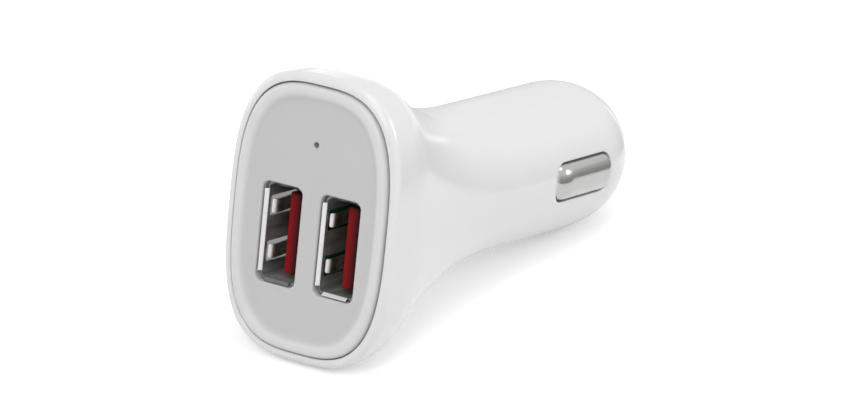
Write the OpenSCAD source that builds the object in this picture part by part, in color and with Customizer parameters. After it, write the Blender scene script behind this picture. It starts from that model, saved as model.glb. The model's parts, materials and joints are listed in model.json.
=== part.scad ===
// Two-port USB charger plug for a 12 volt vehicle socket.
// +Y runs along the plug's axis towards its tip, +Z is up, and +X is to the right.
// The origin lies on the axis, in the plane of the flat face round the USB openings.

/* [Head] */
// Width of the head at its front
head_w = 26.4; // [25:0.1:29]
// Height of the head at its front
head_h = 38.9; // [37.5:0.1:42]
// Squareness of the head's outline, where 2 is an ellipse
head_n = 3.1; // [2.6:0.1:4]
// Distance that the lip's front lies ahead of the flat face
lip_proud = 0.2; // [0:0.05:0.4]
// Width of the lip's rounded outer edge
lip_round = 1; // [0.6:0.05:1.1]
// Depth of the lip's rounded outer edge
lip_depth = 1.3; // [0.8:0.05:1.6]
// Depth of the head's side, from the flat face to the shoulder
head_depth = 6.4; // [5.5:0.1:9]
// How far the side draws in from the lip to the shoulder
head_draft = 0.38; // [0:0.02:0.6]

/* [Flare] */
// Distance from the flat face to the end of the flare
flare_end = 42; // [38:0.5:44]
// Roundness of the flare where it leaves the shoulder
flare_start_power = 1.06; // [1:0.02:1.4]
// Hollowness of the flare as it runs into the barrel
flare_end_power = 2.87; // [2.4:0.05:3.4]
// Half width of the rounding at the shoulder
shoulder_soft = 1.8; // [0.5:0.1:2.5]

/* [Barrel and nose] */
// Diameter of the straight barrel
barrel_d = 20.8; // [20.4:0.05:21]
// Distance from the flat face to the end of the nose
nose_end = 70.1; // [69.6:0.1:74]
// Length of the nose's rounding
nose_round = 10.1; // [8.5:0.1:10.3]
// How far the nose's rounding draws in
nose_draw = 6.6; // [5:0.1:6.8]
// Wall of the flare and barrel
wall = 2; // [1.8:0.05:2.1]
// Wall at the end of the nose
nose_wall = 2.2; // [1.8:0.1:2.6]

/* [Face plate] */
// Wall of the lip between the plate's pocket and the head's side
lip_wall = 1.35; // [1.2:0.05:1.6]
// Thickness of the plate
plate_t = 1.6; // [1.4:0.1:2]
// Gap all round the plate
plate_gap = 0.12; // [0.08:0.01:0.2]
// Height of the plate's raised rim over its flat face
rim_h = 0.55; // [0.3:0.05:0.8]
// Width of the raised rim, from the plate's edge to the flat face
rim_w = 2.4; // [1.8:0.1:2.6]
// Width of each snap hook
hook_w = 8; // [5:0.5:9]
// Length of each snap hook behind the plate
hook_l = 4; // [3.5:0.1:5]
// Diameter of the light's pinhole
pinhole_d = 0.8; // [0.6:0.05:1.4]
// Height of the pinhole over the axis
pinhole_z = 10.2; // [9:0.1:11]

/* [USB sockets] */
// Distance between the two sockets' centres
port_pitch = 9.15; // [9:0.05:9.6]
// Distance of the sockets' centres below the axis
port_drop = 2.85; // [2:0.05:3.4]
// Width across a socket's shell
shell_w = 5.7; // [5.65:0.01:5.75]
// Height of a socket's shell
shell_h = 13.1; // [13:0.05:13.2]
// Sheet thickness of the shell
shell_t = 0.3; // [0.25:0.01:0.32]
// Length of the shell
shell_l = 13.2; // [12.5:0.1:14]
// How far the shell's rim lies behind the flat face
shell_set = 0.35; // [0.2:0.05:0.5]
// Gap between the shell and the plate's opening, which the shell's flared lip fills
opening_gap = 0.25; // [0.2:0.01:0.3]
// Thickness of the tongue
tongue_t = 1.84; // [1.8:0.01:1.88]
// Gap between each end of the tongue and the shell
tongue_end_gap = 0.7; // [0.65:0.01:0.75]
// How far the tongue's end lies behind the flat face
tongue_set = 1.9; // [1.6:0.05:2.2]
// Gap between the tongue's broad side and the nearer wall of the shell
tongue_gap = 0.7; // [0.65:0.01:0.75]
// Distance of each spring finger's centre from the socket's centre
finger_z = 3.1; // [3:0.05:3.3]
// Width of a spring finger
finger_w = 1.9; // [1.8:0.05:2.4]
// How far a spring finger reaches in from the wall
finger_in = 0.6; // [0.4:0.05:0.7]

/* [Circuit board] */
// Thickness of the board
board_t = 1.6; // [1.5:0.05:1.8]
// Height of the board inside the barrel
board_h = 15.6; // [15:0.1:15.9]
// Height of the board inside the head
board_head_h = 25; // [24:0.2:26]
// Distance from the flat face to the board's front edge
board_front = 2.6; // [2.4:0.1:3]

/* [Contacts] */
// Diameter of the tip contact's pin
tip_d = 5.6; // [5:0.1:6]
// How far the tip stands out of the nose
tip_out = 4.5; // [3.5:0.1:5]
// How far the tip can be pressed in
tip_travel = 3; // [2:0.1:3]
// Running clearance round the tip
tip_gap = 0.05; // [0.03:0.01:0.08]
// Distance from the flat face to the start of the side contacts' slots
slot_start = 45.4; // [45:0.1:45.8]
// Length of each slot
slot_l = 14.4; // [14:0.1:14.6]
// Width of each slot
slot_w = 5.7; // [5.4:0.05:5.9]
// Clearance between a side contact and its slot
slot_gap = 0.1; // [0.05:0.01:0.15]
// How far a side contact stands out of the barrel
side_out = 0.9; // [0.7:0.05:1]
// Sheet thickness of a side contact
side_t = 0.4; // [0.3:0.02:0.5]

/* [Hidden] */

// Facets round the head and the flare, inside and outside
ring_count = 72;
inner_count = 48;
$fn = 48;
// Overlap where one cut runs into another
eps = 0.05;
// Clearance of pieces that are fitted and don't move
fit_gap = 0.05;

barrel_r = barrel_d / 2;
bore_r = barrel_r - wall;
nose_start = nose_end - nose_round;
nose_inner = nose_end - nose_wall;
back_a = head_w / 2 - head_draft;
back_b = head_h / 2 - head_draft;
// The flare ends just inside the barrel's true cylinder, so that the two meet in a clean edge
flare_sink = 0.15;
flare_r = barrel_r - flare_sink;
ledge_y = plate_t;
pocket_a = head_w / 2 - lip_wall;
pocket_b = head_h / 2 - lip_wall;
plate_a = pocket_a - plate_gap;
plate_b = pocket_b - plate_gap;

// Share of the head's size that is left at a place along the flare, before its shoulder is rounded
function flare_raw(y) =
    let (u = min(max((y - head_depth) / (flare_end - head_depth), 0), 1))
    pow(1 - pow(u, flare_start_power), flare_end_power);
// The same with the shoulder rounded, as a mean over a short stretch
soft_steps = 4;
function flare_share(y) =
    let (parts = [for (k = [-soft_steps:soft_steps]) flare_raw(y + shoulder_soft * k / soft_steps)])
    parts * [for (p = parts) 1] / len(parts);
squareness_power = 0.78;
function flare_n(share) = 2 + (head_n - 2) * pow(share, squareness_power);

// Points of a superellipse with half axes a and b and squareness n, in the plane at y
function outline(a, b, n, count) = [
    for (i = [0:count - 1])
        let (t = 360 * i / count, r = pow(pow(abs(cos(t)) / a, n) + pow(abs(sin(t)) / b, n), -1 / n))
        [r * cos(t), r * sin(t)]
];
function ring(y, a, b, n, count) = [for (p = outline(a, b, n, count)) [p.x, y, p.y]];

// Half width, half height and section of the head or flare at y, drawn in by inset
function draft_at(y) = head_draft * (1 - min(y / head_depth, 1));
function half_w(y, inset) = flare_r + (back_a - flare_r) * flare_share(y) + draft_at(y) - inset;
function half_h(y, inset) = flare_r + (back_b - flare_r) * flare_share(y) + draft_at(y) - inset;
function body_ring(y, inset, count) =
    ring(y, half_w(y, inset), half_h(y, inset), flare_n(flare_share(y)), count);

lip_steps = 4;
flare_steps = 18;
spread = 1.5;
function station(k, steps, from, to) = from + (to - from) * pow(k / steps, spread);
// The side's last straight section lies just ahead of the shoulder's rounding
shoulder_lead = 0.5;
side_end = head_depth - shoulder_soft - shoulder_lead;
outer_rings = concat(
    [for (k = [0:lip_steps])
        let (t = 90 * k / lip_steps)
        body_ring(-lip_proud + lip_depth * (1 - cos(t)), lip_round * (1 - sin(t)), ring_count)],
    [for (k = [0:flare_steps]) body_ring(station(k, flare_steps, side_end, flare_end), 0, ring_count)]
);
inner_steps = 13;
inner_rings = [
    for (k = [0:inner_steps])
        body_ring(station(k, inner_steps, ledge_y - eps * 4, flare_end), wall, inner_count)
];
// The barrel's cylinder starts inside the flare, where the flare is wider on every side
barrel_lap = 14.5;
barrel_start = flare_end - barrel_lap;

module loft(rings) {
    count = len(rings[0]);
    last = len(rings) - 1;
    points = [for (r = rings) for (p = r) p];
    sides = [
        for (i = [0:last - 1]) for (j = [0:count - 1])
            let (
                a = i * count + j,
                b = i * count + (j + 1) % count,
                c = b + count,
                d = a + count
            )
            each [[a, b, c], [a, c, d]]
    ];
    front = [for (j = [count - 1:-1:0]) j];
    back = [for (j = [0:count - 1]) last * count + j];
    polyhedron(points, concat(sides, [front, back]), convexity = 6);
}

// Extrusions along each axis: the children lie in XZ, in YZ or in XY
module along_y(from, to) {
    translate([0, to, 0]) rotate([90, 0, 0]) linear_extrude(to - from) children();
}
module along_x(from, to) {
    translate([from, 0, 0]) rotate([90, 0, 90]) linear_extrude(to - from) children();
}
module along_z(from, to) {
    translate([0, 0, from]) linear_extrude(to - from) children();
}
// Turns a profile of [radius, y] points about the plug's axis
module turned(points) {
    rotate([-90, 0, 0]) rotate_extrude() polygon(points);
}
module rounded(w, h, r) {
    square([w - 2 * r, h], center = true);
    square([w, h - 2 * r], center = true);
    for (sx = [-1, 1]) for (sy = [-1, 1])
        translate([sx * (w / 2 - r), sy * (h / 2 - r)]) circle(r, $fn = 24);
}
// A bent strip of sheet: its middle line as points, its thickness and its width's ends in z
function unit(v) = v / norm(v);
function side_of(path, i) =
    let (
        last = len(path) - 1,
        before = unit(path[max(i, 1)] - path[max(i, 1) - 1]),
        after = unit(path[min(i + 1, last)] - path[min(i + 1, last) - 1]),
        way = unit(before + after)
    )
    [-way.y, way.x] / sqrt((1 + before * after) / 2);
module strip(path, t, from, to) {
    left = [for (i = [0:len(path) - 1]) path[i] + side_of(path, i) * t / 2];
    right = [for (i = [len(path) - 1:-1:0]) path[i] - side_of(path, i) * t / 2];
    along_z(from, to) polygon(concat(left, right));
}

// Housing: head, flare, barrel and nose in one moulding
nose_steps = 9;
nose_curve = [
    for (k = [0:nose_steps])
        let (t = 90 * k / nose_steps)
        [barrel_r - nose_draw * (1 - cos(t)), nose_start + nose_round * sin(t)]
];
// The bore narrows inside the nose, down to the seat of the tip contact's flange
bore_past_nose = 1.5;
bore_end = nose_start + bore_past_nose;
tip_flange_t = 1;
tip_flange_r = tip_d / 2 + 1.2;
seat_r = tip_flange_r + 0.8;

// The plate's hooks lie along the cavity's top and bottom, under the wall at their corners
hook_t = 1.2;
hook_bead = 0.45;
hook_catch = 0.9;
hook_groove = 1.5;
hook_back = ledge_y + hook_l;
hook_y = hook_back - hook_catch;
hook_out = half_h(hook_back, wall)
    * pow(1 - pow(hook_w / 2 / half_w(hook_back, wall), head_n), 1 / head_n) - 2 * fit_gap;

// Rails that hold the board's edges, on both of its faces
rail_t = 1.2;
rail_l = 13.8;
rail_lap = 1.1;
rail_to_slot = 1.6;
rail_end = slot_start - rail_to_slot;
rail_start = rail_end - rail_l;

slot_round = 2.1;
module side_slot(grow) {
    translate([slot_start + slot_l / 2, 0])
        rounded(slot_l + 2 * grow, slot_w + 2 * grow, slot_round + grow);
}

module housing() {
    color("white") difference() {
        union() {
            loft(outer_rings);
            turned(concat([[0, barrel_start], [barrel_r, barrel_start]], nose_curve, [[0, nose_end]]));
        }
        along_y(-1, ledge_y) polygon(outline(pocket_a, pocket_b, head_n, ring_count));
        difference() {
            union() {
                loft(inner_rings);
                turned([[0, barrel_start], [bore_r, barrel_start], [bore_r, bore_end],
                    [seat_r, nose_inner], [0, nose_inner]]);
            }
            for (sz = [-1, 1]) for (sx = [-1, 1])
                translate([sx * (board_t / 2 + fit_gap + rail_t / 2), (rail_start + rail_end) / 2,
                    sz * (board_h / 2 - rail_lap + wall / 2)])
                    cube([rail_t, rail_end - rail_start, 2 * rail_lap], center = true);
        }
        turned([[0, nose_inner - 1], [tip_d / 2 + tip_gap, nose_inner - 1],
            [tip_d / 2 + tip_gap, nose_end + 1], [0, nose_end + 1]]);
        for (m = [0, 1]) mirror([m, 0, 0]) along_x(bore_r / 2, barrel_r + 1) side_slot(0);
        for (sz = [-1, 1])
            translate([0, hook_y, sz * (hook_out + hook_bead / 2)])
                cube([hook_w + 4 * fit_gap, hook_groove, hook_bead + 4 * fit_gap], center = true);
    }
}

// Face plate: a flat panel inside a raised rim, with two openings, a pinhole and two snap hooks
rim_round = 0.6;
rim_crest = 0.9;
rim_round_steps = 4;
rim_slope_steps = 6;
function plate_ring(y, inset) = ring(y, plate_a - inset, plate_b - inset, head_n, ring_count);
// From the flat face over the slope and the crest, round the edge and on to the back
plate_rings = concat(
    [for (k = [rim_slope_steps:-1:0])
        let (f = k / rim_slope_steps)
        plate_ring(-rim_h * (1 + cos(180 * f)) / 2, rim_crest + (rim_w - rim_crest) * f)],
    [for (k = [rim_round_steps:-1:0])
        let (t = 90 * k / rim_round_steps)
        plate_ring(rim_round * (1 - sin(t)) - rim_h, rim_round * (1 - cos(t)))],
    [plate_ring(ledge_y, 0)]
);
shell_round = 0.75;
opening_soft = 0.45;

module port_outline(grow) {
    rounded(shell_w + 2 * grow, shell_h + 2 * grow, shell_round + grow);
}
module at_port(side) {
    translate([side * port_pitch / 2, 0, -port_drop]) children();
}
module snap_hook() {
    along_x(-hook_w / 2, hook_w / 2) polygon([
        [ledge_y - eps, hook_out - hook_t], [hook_back, hook_out - hook_t],
        [hook_back, hook_out - hook_bead], [hook_y, hook_out + hook_bead],
        [hook_y - hook_bead, hook_out], [ledge_y - eps, hook_out]
    ]);
}
module face_plate() {
    color("gainsboro") difference() {
        union() {
            loft(plate_rings);
            for (m = [0, 1]) mirror([0, 0, m]) snap_hook();
        }
        for (side = [-1, 1]) at_port(side) {
            along_y(-1, ledge_y + 1) port_outline(opening_gap);
            hull() {
                along_y(-eps, 0) port_outline(opening_gap + opening_soft);
                along_y(opening_soft, opening_soft + eps) port_outline(opening_gap);
            }
        }
        translate([0, 0, pinhole_z]) turned([[0, -1], [pinhole_d / 2, -1],
            [pinhole_d / 2, ledge_y + 1], [0, ledge_y + 1]]);
    }
}

// Circuit board on edge, with one socket on each face
shell_end = shell_set + shell_l;
foot_l = 1.8;
insulator_end = shell_end + foot_l;
board_face = board_t / 2;
tip_back = nose_inner - fit_gap - tip_flange_t;
spring_l = 9;
terminal_t = 0.4;
terminal_y = tip_back - spring_l;
board_end = terminal_y - 2 * terminal_t;
// The board's broad part ends a little ahead of the sockets' rear ends
board_step = insulator_end - 2;
board_slope = (board_head_h - board_h) / 2;
led_r = 1.5;
led_flange_r = 1.9;
led_flange_t = 1;
led_l = 4.65;
led_front = ledge_y + 0.15;
led_back = led_front + led_l;

module circuit_board() {
    color("darkgreen") along_x(-board_face, board_face) difference() {
        polygon([
            [board_front, -board_head_h / 2], [board_step, -board_head_h / 2],
            [board_step + board_slope, -board_h / 2], [board_end, -board_h / 2],
            [board_end, board_h / 2], [board_step + board_slope, board_h / 2],
            [board_step, board_head_h / 2], [board_front, board_head_h / 2]
        ]);
        translate([board_front - 1, pinhole_z - led_flange_r - fit_gap])
            square([led_back - board_front + 1 + fit_gap, 2 * (led_flange_r + fit_gap)]);
    }
}

// USB socket's shell: a folded tube with a flared lip, spring fingers in its broad walls and legs
// on the board
shell_mid = (shell_w - shell_t) / 2;
lip_out = opening_gap - fit_gap;
lip_l = 0.5;
lip_edge = 0.1;
// A finger rises steeply from its tip, stays level over its crest and falls slowly to its root
finger_tip = 1.65;
finger_tip_share = 0.15;
finger_crest = 2.2;
finger_back = 2.95;
finger_root = 9.2;
finger_slit = 0.25;
leg_start = 10;
leg_l = 2;
leg_lap = 1;
port_to_board = port_pitch / 2 - board_face;

module finger(side, reach) {
    strip([
        [side * shell_mid, finger_root + 1], [side * shell_mid, finger_root - 1],
        [side * (shell_mid - reach), finger_back], [side * (shell_mid - reach), finger_crest],
        [side * (shell_mid - finger_tip_share * reach), finger_tip]
    ], shell_t, -finger_w / 2, finger_w / 2);
}
// Solid between the outlines of the lip's front and back, which reaches past its front by lead
module lip_block(front_grow, back_grow, lead) {
    hull() {
        along_y(shell_set - lead, shell_set - lead + eps) port_outline(front_grow);
        along_y(shell_set + lip_l, shell_set + lip_l + eps) port_outline(back_grow);
    }
}
module usb_shell(side) {
    color("silver") at_port(side) {
        difference() {
            union() {
                along_y(shell_set + lip_l, shell_end) port_outline(0);
                lip_block(lip_out, 0, 0);
            }
            along_y(shell_set - 1, shell_end + 1) port_outline(-shell_t);
            lip_block(lip_out - lip_edge, -shell_t, eps);
            for (sx = [-1, 1]) for (sz = [-1, 1])
                translate([sx * shell_mid, (finger_tip + finger_root) / 2 - finger_slit, sz * finger_z])
                    cube([4 * shell_t, finger_root - finger_tip, finger_w + 2 * finger_slit],
                        center = true);
        }
        for (sz = [-1, 1]) translate([0, 0, sz * finger_z]) {
            finger(-1, finger_in);
            finger(1, tongue_gap / 2);
        }
        for (sz = [-1, 1]) translate([
            -side * (port_to_board + shell_w / 2 - leg_lap) / 2, leg_start + leg_l / 2,
            sz * (shell_h - shell_t) / 2
        ])
            cube([port_to_board - shell_w / 2 + leg_lap, leg_l, shell_t], center = true);
    }
}

// Insulator: a tongue, a block that closes the shell's rear end, and a foot that stands on the board
tongue_x = shell_w / 2 - shell_t - tongue_gap - tongue_t;
tongue_h = shell_h - 2 * (shell_t + tongue_end_gap);
tongue_edge = 0.35;
block_l = 3;
block_start = shell_end - block_l;
contact_t = 0.25;
contact_w = 1;
contact_z = [-3.5, -1, 1, 3.5];
contact_x = tongue_x + contact_t / 2;
channel_depth = 0.4;

module usb_insulator(side) {
    color("darkred") at_port(side) difference() {
        union() {
            along_z(-tongue_h / 2, tongue_h / 2) polygon([
                [tongue_x, tongue_set + tongue_edge], [tongue_x + tongue_edge, tongue_set],
                [tongue_x + tongue_t - tongue_edge, tongue_set],
                [tongue_x + tongue_t, tongue_set + tongue_edge],
                [tongue_x + tongue_t, block_start + eps], [tongue_x, block_start + eps]
            ]);
            along_y(block_start, shell_end + eps) port_outline(-shell_t - fit_gap);
            translate([
                -side * (port_to_board - shell_w / 2) / 2, shell_end + foot_l / 2 + fit_gap / 2, 0
            ])
                cube([port_to_board + shell_w / 2, foot_l - fit_gap, shell_h], center = true);
        }
        for (z = contact_z) {
            translate([tongue_x + (channel_depth - 1) / 2, (tongue_set + tongue_edge + block_start) / 2, z])
                cube([channel_depth + 1, block_start - tongue_set - tongue_edge + eps,
                    contact_w + 2 * fit_gap], center = true);
            translate([contact_x, (block_start + insulator_end) / 2, z])
                cube([contact_t + 2 * fit_gap, insulator_end - block_start + 1,
                    contact_w + 2 * fit_gap], center = true);
        }
    }
}

// One of the four sprung contacts of a socket, from its crest on the tongue to its foot on the board
contact_dip = 0.1;
contact_out = 0.45;
contact_front = tongue_set + 0.7;
contact_rise = tongue_set + 1.3;
contact_crest = tongue_set + 3.2;
contact_fall = tongue_set + 6;
contact_foot = 1.5;
contact_back = 0.6;
module usb_contact(side, i) {
    z = contact_z[i - 1];
    foot_x = -side * (port_to_board - contact_t / 2);
    bend_y = insulator_end + contact_back;
    color("gold") at_port(side) strip([
        [contact_x + contact_dip, contact_front], [contact_x, contact_rise],
        [contact_x - contact_out, contact_crest], [contact_x, contact_fall],
        [contact_x, bend_y], [foot_x, bend_y], [foot_x, bend_y + contact_foot]
    ], contact_t, z - contact_w / 2, z + contact_w / 2);
}

// Parts on the board: at_face puts them on its right (side 1) or left (side -1) face
module at_face(side, y, z) {
    mirror([side < 0 ? 1 : 0, 0, 0]) translate([board_face, y, z]) children();
}
module standing(points) {
    rotate([0, 90, 0]) rotate_extrude() polygon(points);
}

inductor_r = 3.5;
inductor_h = 4.5;
inductor_flange = 0.9;
inductor_neck_r = 2.9;
// The parts start where the board has narrowed, and stand apart_y from each other along it
parts_start = board_step + board_slope;
apart_y = 2;
inductor_y = parts_start + apart_y + inductor_r;
module inductor() {
    color("dimgray") at_face(1, inductor_y, 0) standing([
        [0, 0], [inductor_r, 0], [inductor_r, inductor_flange],
        [inductor_neck_r, inductor_flange], [inductor_neck_r, inductor_h - inductor_flange],
        [inductor_r, inductor_h - inductor_flange], [inductor_r, inductor_h], [0, inductor_h]
    ]);
}

chip_l = 4.9;
chip_w = 3.9;
chip_h = 1.45;
lead_pitch = 1.27;
lead_w = 0.4;
lead_t = 0.2;
lead_out = 1.05;
module converter_chip() {
    color("black") at_face(1, inductor_y + inductor_r + apart_y + chip_l / 2, 0) {
        translate([lead_t + chip_h / 2, 0, 0]) cube([chip_h, chip_l, chip_w], center = true);
        for (m = [0, 1]) mirror([0, 0, m]) for (i = [-1.5:1.5])
            rotate([90, 0, 0]) translate([0, 0, i * lead_pitch]) strip([
                [lead_t / 2, chip_w / 2 + lead_out], [lead_t / 2, chip_w / 2 + lead_out / 2],
                [chip_h / 2, chip_w / 2 + lead_out / 2], [chip_h / 2, chip_w / 2 - lead_t]
            ], lead_t, -lead_w / 2, lead_w / 2);
    }
}

can_r = 3.15;
can_edge = 0.3;
can_base = 1;
// Place and spacing of the bead that is rolled into a can near its sealed end
can_bead = 0.9;
output_can_h = 5.6;
output_can_y = parts_start + apart_y + can_r;
module output_capacitor() {
    color("silver") at_face(-1, output_can_y, 0) {
        translate([can_base / 2, 0, 0]) cube([can_base, 2 * can_r, 2 * can_r], center = true);
        standing([
            [0, can_base - eps], [can_r, can_base - eps], [can_r, 2 * can_bead - can_edge],
            [can_r - can_edge, 2 * can_bead], [can_r, 2 * can_bead + can_edge],
            [can_r, output_can_h - can_edge], [can_r - can_edge, output_can_h], [0, output_can_h]
        ]);
    }
}

input_can_l = 11;
input_can_y = output_can_y + can_r + apart_y;
can_lead_t = 0.6;
can_lead_z = 1.25;
can_lead_out = 0.8;
module input_capacitor() {
    can_x = can_r + fit_gap;
    color("slategray") at_face(-1, input_can_y, 0) {
        translate([can_x, 0, 0]) turned([
            [0, 0], [can_r - can_edge, 0], [can_r, can_edge],
            [can_r, input_can_l - 2 * can_bead], [can_r - can_edge, input_can_l - 1.5 * can_bead],
            [can_r, input_can_l - can_bead], [can_r, input_can_l - can_edge],
            [can_r - can_edge, input_can_l], [0, input_can_l]
        ]);
        for (z = [-can_lead_z, can_lead_z]) translate([0, input_can_l + can_lead_out, z]) {
            translate([can_x / 2, 0, 0]) cube([can_x, can_lead_t, can_lead_t], center = true);
            translate([can_x, -can_lead_out / 2, 0])
                cube([can_lead_t, can_lead_out + can_lead_t, can_lead_t], center = true);
        }
    }
}

// A moulded block between two folded end terminals, lying along z
end_pad = 0.25;
end_share = 0.6;
module terminal_block(l, w, h, shade) {
    color(shade) {
        translate([(h + end_pad) / 2, 0, 0]) cube([h - end_pad, w, l - 2 * end_pad], center = true);
        for (sz = [-1, 1]) translate([end_share * h / 2, 0, sz * (l - end_pad) / 2])
            cube([end_share * h, end_share * w, end_pad + eps / 2], center = true);
    }
}
diode_l = 4.6;
diode_w = 2.6;
diode_h = 2.2;
module rectifier_diode() {
    at_face(1, rail_end - diode_w / 2, 0) terminal_block(diode_l, diode_w, diode_h, "black");
}
fuse_l = 6.1;
fuse_w = 2.6;
fuse_h = 2.5;
module fuse() {
    at_face(-1, rail_end + fuse_w / 2, 0) terminal_block(fuse_l, fuse_w, fuse_h, "darkkhaki");
}
resistor_l = 1.6;
resistor_w = 0.85;
resistor_h = 0.5;
resistor_step = 1.4;
resistor_z = 4.6;
module chip_resistors() {
    for (side = [-1, 1]) for (z = [-resistor_z, resistor_z]) for (k = [0:1])
        at_face(side, parts_start + resistor_step * k, z)
            terminal_block(resistor_l, resistor_w, resistor_h, "dimgray");
}

// Light: a domed lamp in the board's notch, its two legs on the two faces
led_leg_t = 0.5;
led_leg_l = 3.5;
module status_led() {
    color("powderblue") translate([0, 0, pinhole_z]) {
        turned(concat(
            [for (t = [0:15:90]) [led_r * sin(t), led_front + led_r * (1 - cos(t))]],
            [[led_r, led_back - led_flange_t], [led_flange_r, led_back - led_flange_t],
                [led_flange_r, led_back], [0, led_back]]
        ));
        for (sx = [-1, 1])
            translate([sx * (board_face + led_leg_t / 2), led_back + (led_leg_l - eps) / 2, 0])
                cube([led_leg_t, led_leg_l + eps, led_leg_t], center = true);
    }
}

// Tip contact: a domed pin, the flange that holds it in the nose, and a spigot in its spring
spigot_r = 1.5;
// The spigot stops just over the terminal when the tip is pressed in all the way
stop_gap = 0.4;
spigot_l = spring_l - tip_travel - stop_gap;
tip_dome = 2.4;
module tip_contact() {
    front = nose_end + tip_out;
    flange_y = nose_inner - fit_gap;
    color("silver") turned(concat(
        [[0, tip_back - spigot_l], [spigot_r - 0.3, tip_back - spigot_l],
            [spigot_r, tip_back - spigot_l + 0.3], [spigot_r, tip_back], [tip_flange_r, tip_back],
            [tip_flange_r, flange_y], [tip_d / 2, flange_y]],
        [for (t = [0:15:90]) [tip_d / 2 * cos(t), front - tip_dome * (1 - sin(t))]]
    ));
}

// Coil spring between the tip's flange and the terminal on the board's end
spring_wire = 0.5;
spring_r = spigot_r + 0.25 + spring_wire / 2;
spring_turns = 7;
spring_sides = 6;
spring_rings = 14;
spring_ease = 0.45;
module tip_spring() {
    from = terminal_y + spring_wire / 2 + fit_gap;
    run = spring_l - spring_wire - 2 * fit_gap;
    total = spring_turns * spring_rings;
    // The turns lie closer together towards both ends
    rise = [for (i = [0:total]) from + run * (i / total - spring_ease * sin(360 * i / total) / (2 * PI))];
    color("lightsteelblue") loft([
        for (i = [0:total]) [
            for (j = [0:spring_sides - 1])
                let (
                    turn = 360 * i / spring_rings,
                    t = 360 * j / spring_sides,
                    r = spring_r + spring_wire / 2 * cos(t)
                )
                [r * cos(turn), rise[i] + spring_wire / 2 * sin(t), r * sin(turn)]
        ]
    ]);
}

// Terminal: a cup under the spring, with two prongs over the board's end
cup_r = spring_r + spring_wire / 2 + 0.15;
cup_h = 1.4;
prong_l = 3.2;
prong_w = 3.2;
module tip_terminal() {
    color("goldenrod") {
        turned([
            [0, terminal_y - terminal_t], [cup_r + terminal_t, terminal_y - terminal_t],
            [cup_r + terminal_t, terminal_y + cup_h], [cup_r, terminal_y + cup_h],
            [cup_r, terminal_y], [0, terminal_y]
        ]);
        for (sx = [-1, 1])
            translate([
                sx * (board_face + terminal_t / 2), terminal_y - terminal_t - (prong_l - eps) / 2, 0
            ])
                cube([terminal_t, prong_l + eps, prong_w], center = true);
    }
}

// Side contacts: half-round shoes with a flange behind the slot's edge
shoe_r = slot_w / 2 - slot_gap;
shoe_x = barrel_r + side_out - shoe_r;
shoe_round = slot_round - slot_gap;
shoe_start = slot_start + slot_gap;
shoe_end = slot_start + slot_l - slot_gap;
shoe_flange = 0.9;
shoe_base = sqrt(pow(bore_r, 2) - pow(slot_w / 2 + shoe_flange, 2)) - 2 * fit_gap - side_t;

// Solid of the shoe's half-round back, its surface moved in by inset
module shoe_form(inset) {
    r = shoe_r - inset;
    corner = shoe_round - inset;
    intersection() {
        translate([shoe_x, 0, 0]) turned(concat(
            [[0, shoe_start + inset]],
            [for (t = [90:-15:0])
                [r - corner * (1 - cos(t)), shoe_start + inset + corner * (1 - sin(t))]],
            [for (t = [0:15:90])
                [r - corner * (1 - cos(t)), shoe_end - inset - corner * (1 - sin(t))]],
            [[0, shoe_end - inset]]
        ));
        translate([shoe_x, shoe_start - 1, -slot_w]) cube([slot_w, slot_l + 2, 2 * slot_w]);
    }
    along_x(shoe_base - (inset > 0 ? 1 : 0), shoe_x + eps) side_slot(-slot_gap - inset);
}
module side_contact(side) {
    color("silver") mirror([side < 0 ? 1 : 0, 0, 0]) difference() {
        union() {
            shoe_form(0);
            along_x(shoe_base, shoe_base + side_t) side_slot(shoe_flange);
        }
        shoe_form(side_t);
    }
}

// Leaf springs from the board's faces to the side contacts' flanges
leaf_t = 0.3;
leaf_w = 7;
leaf_foot = 2.8;
leaf_top = 1.6;
leaf_inset = 1.4;
module side_spring(side) {
    foot_x = board_face + leaf_t / 2;
    top_x = shoe_base - leaf_t / 2 - fit_gap;
    foot_y = slot_start + leaf_inset;
    top_y = slot_start + slot_l - leaf_inset;
    color("lightsteelblue") mirror([side < 0 ? 1 : 0, 0, 0]) strip([
        [foot_x, foot_y], [foot_x, foot_y + leaf_foot],
        [top_x, top_y - leaf_top], [top_x, top_y]
    ], leaf_t, -leaf_w / 2, leaf_w / 2);
}

housing();
face_plate();
circuit_board();
usb_shell(-1);  // usb_shell_left
usb_shell(1);  // usb_shell_right
usb_insulator(-1);  // usb_insulator_left
usb_insulator(1);  // usb_insulator_right
for (i = [1:len(contact_z)]) {
    usb_contact(-1, i);
    usb_contact(1, i);
}
converter_chip();
inductor();
input_capacitor();
output_capacitor();
rectifier_diode();
fuse();
status_led();
chip_resistors();
tip_contact();
tip_spring();
tip_terminal();
side_contact(-1);  // side_contact_left
side_contact(1);  // side_contact_right
side_spring(-1);  // side_spring_left
side_spring(1);  // side_spring_right
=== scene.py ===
# %% [markdown]
# # A two-port USB charger plug for a vehicle socket
# The imported solids come first, as a fixed frame: each is a node at its true size and place, and
# the record names the body that the joints move it with. Everything below dresses that frame. Nothing
# in it is moved or resized, so a new piece is modelled straight at the place where the real one sits.

# %% Load the frame
import json
import math

import bmesh
import bpy
from mathutils import Matrix, Vector


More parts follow.
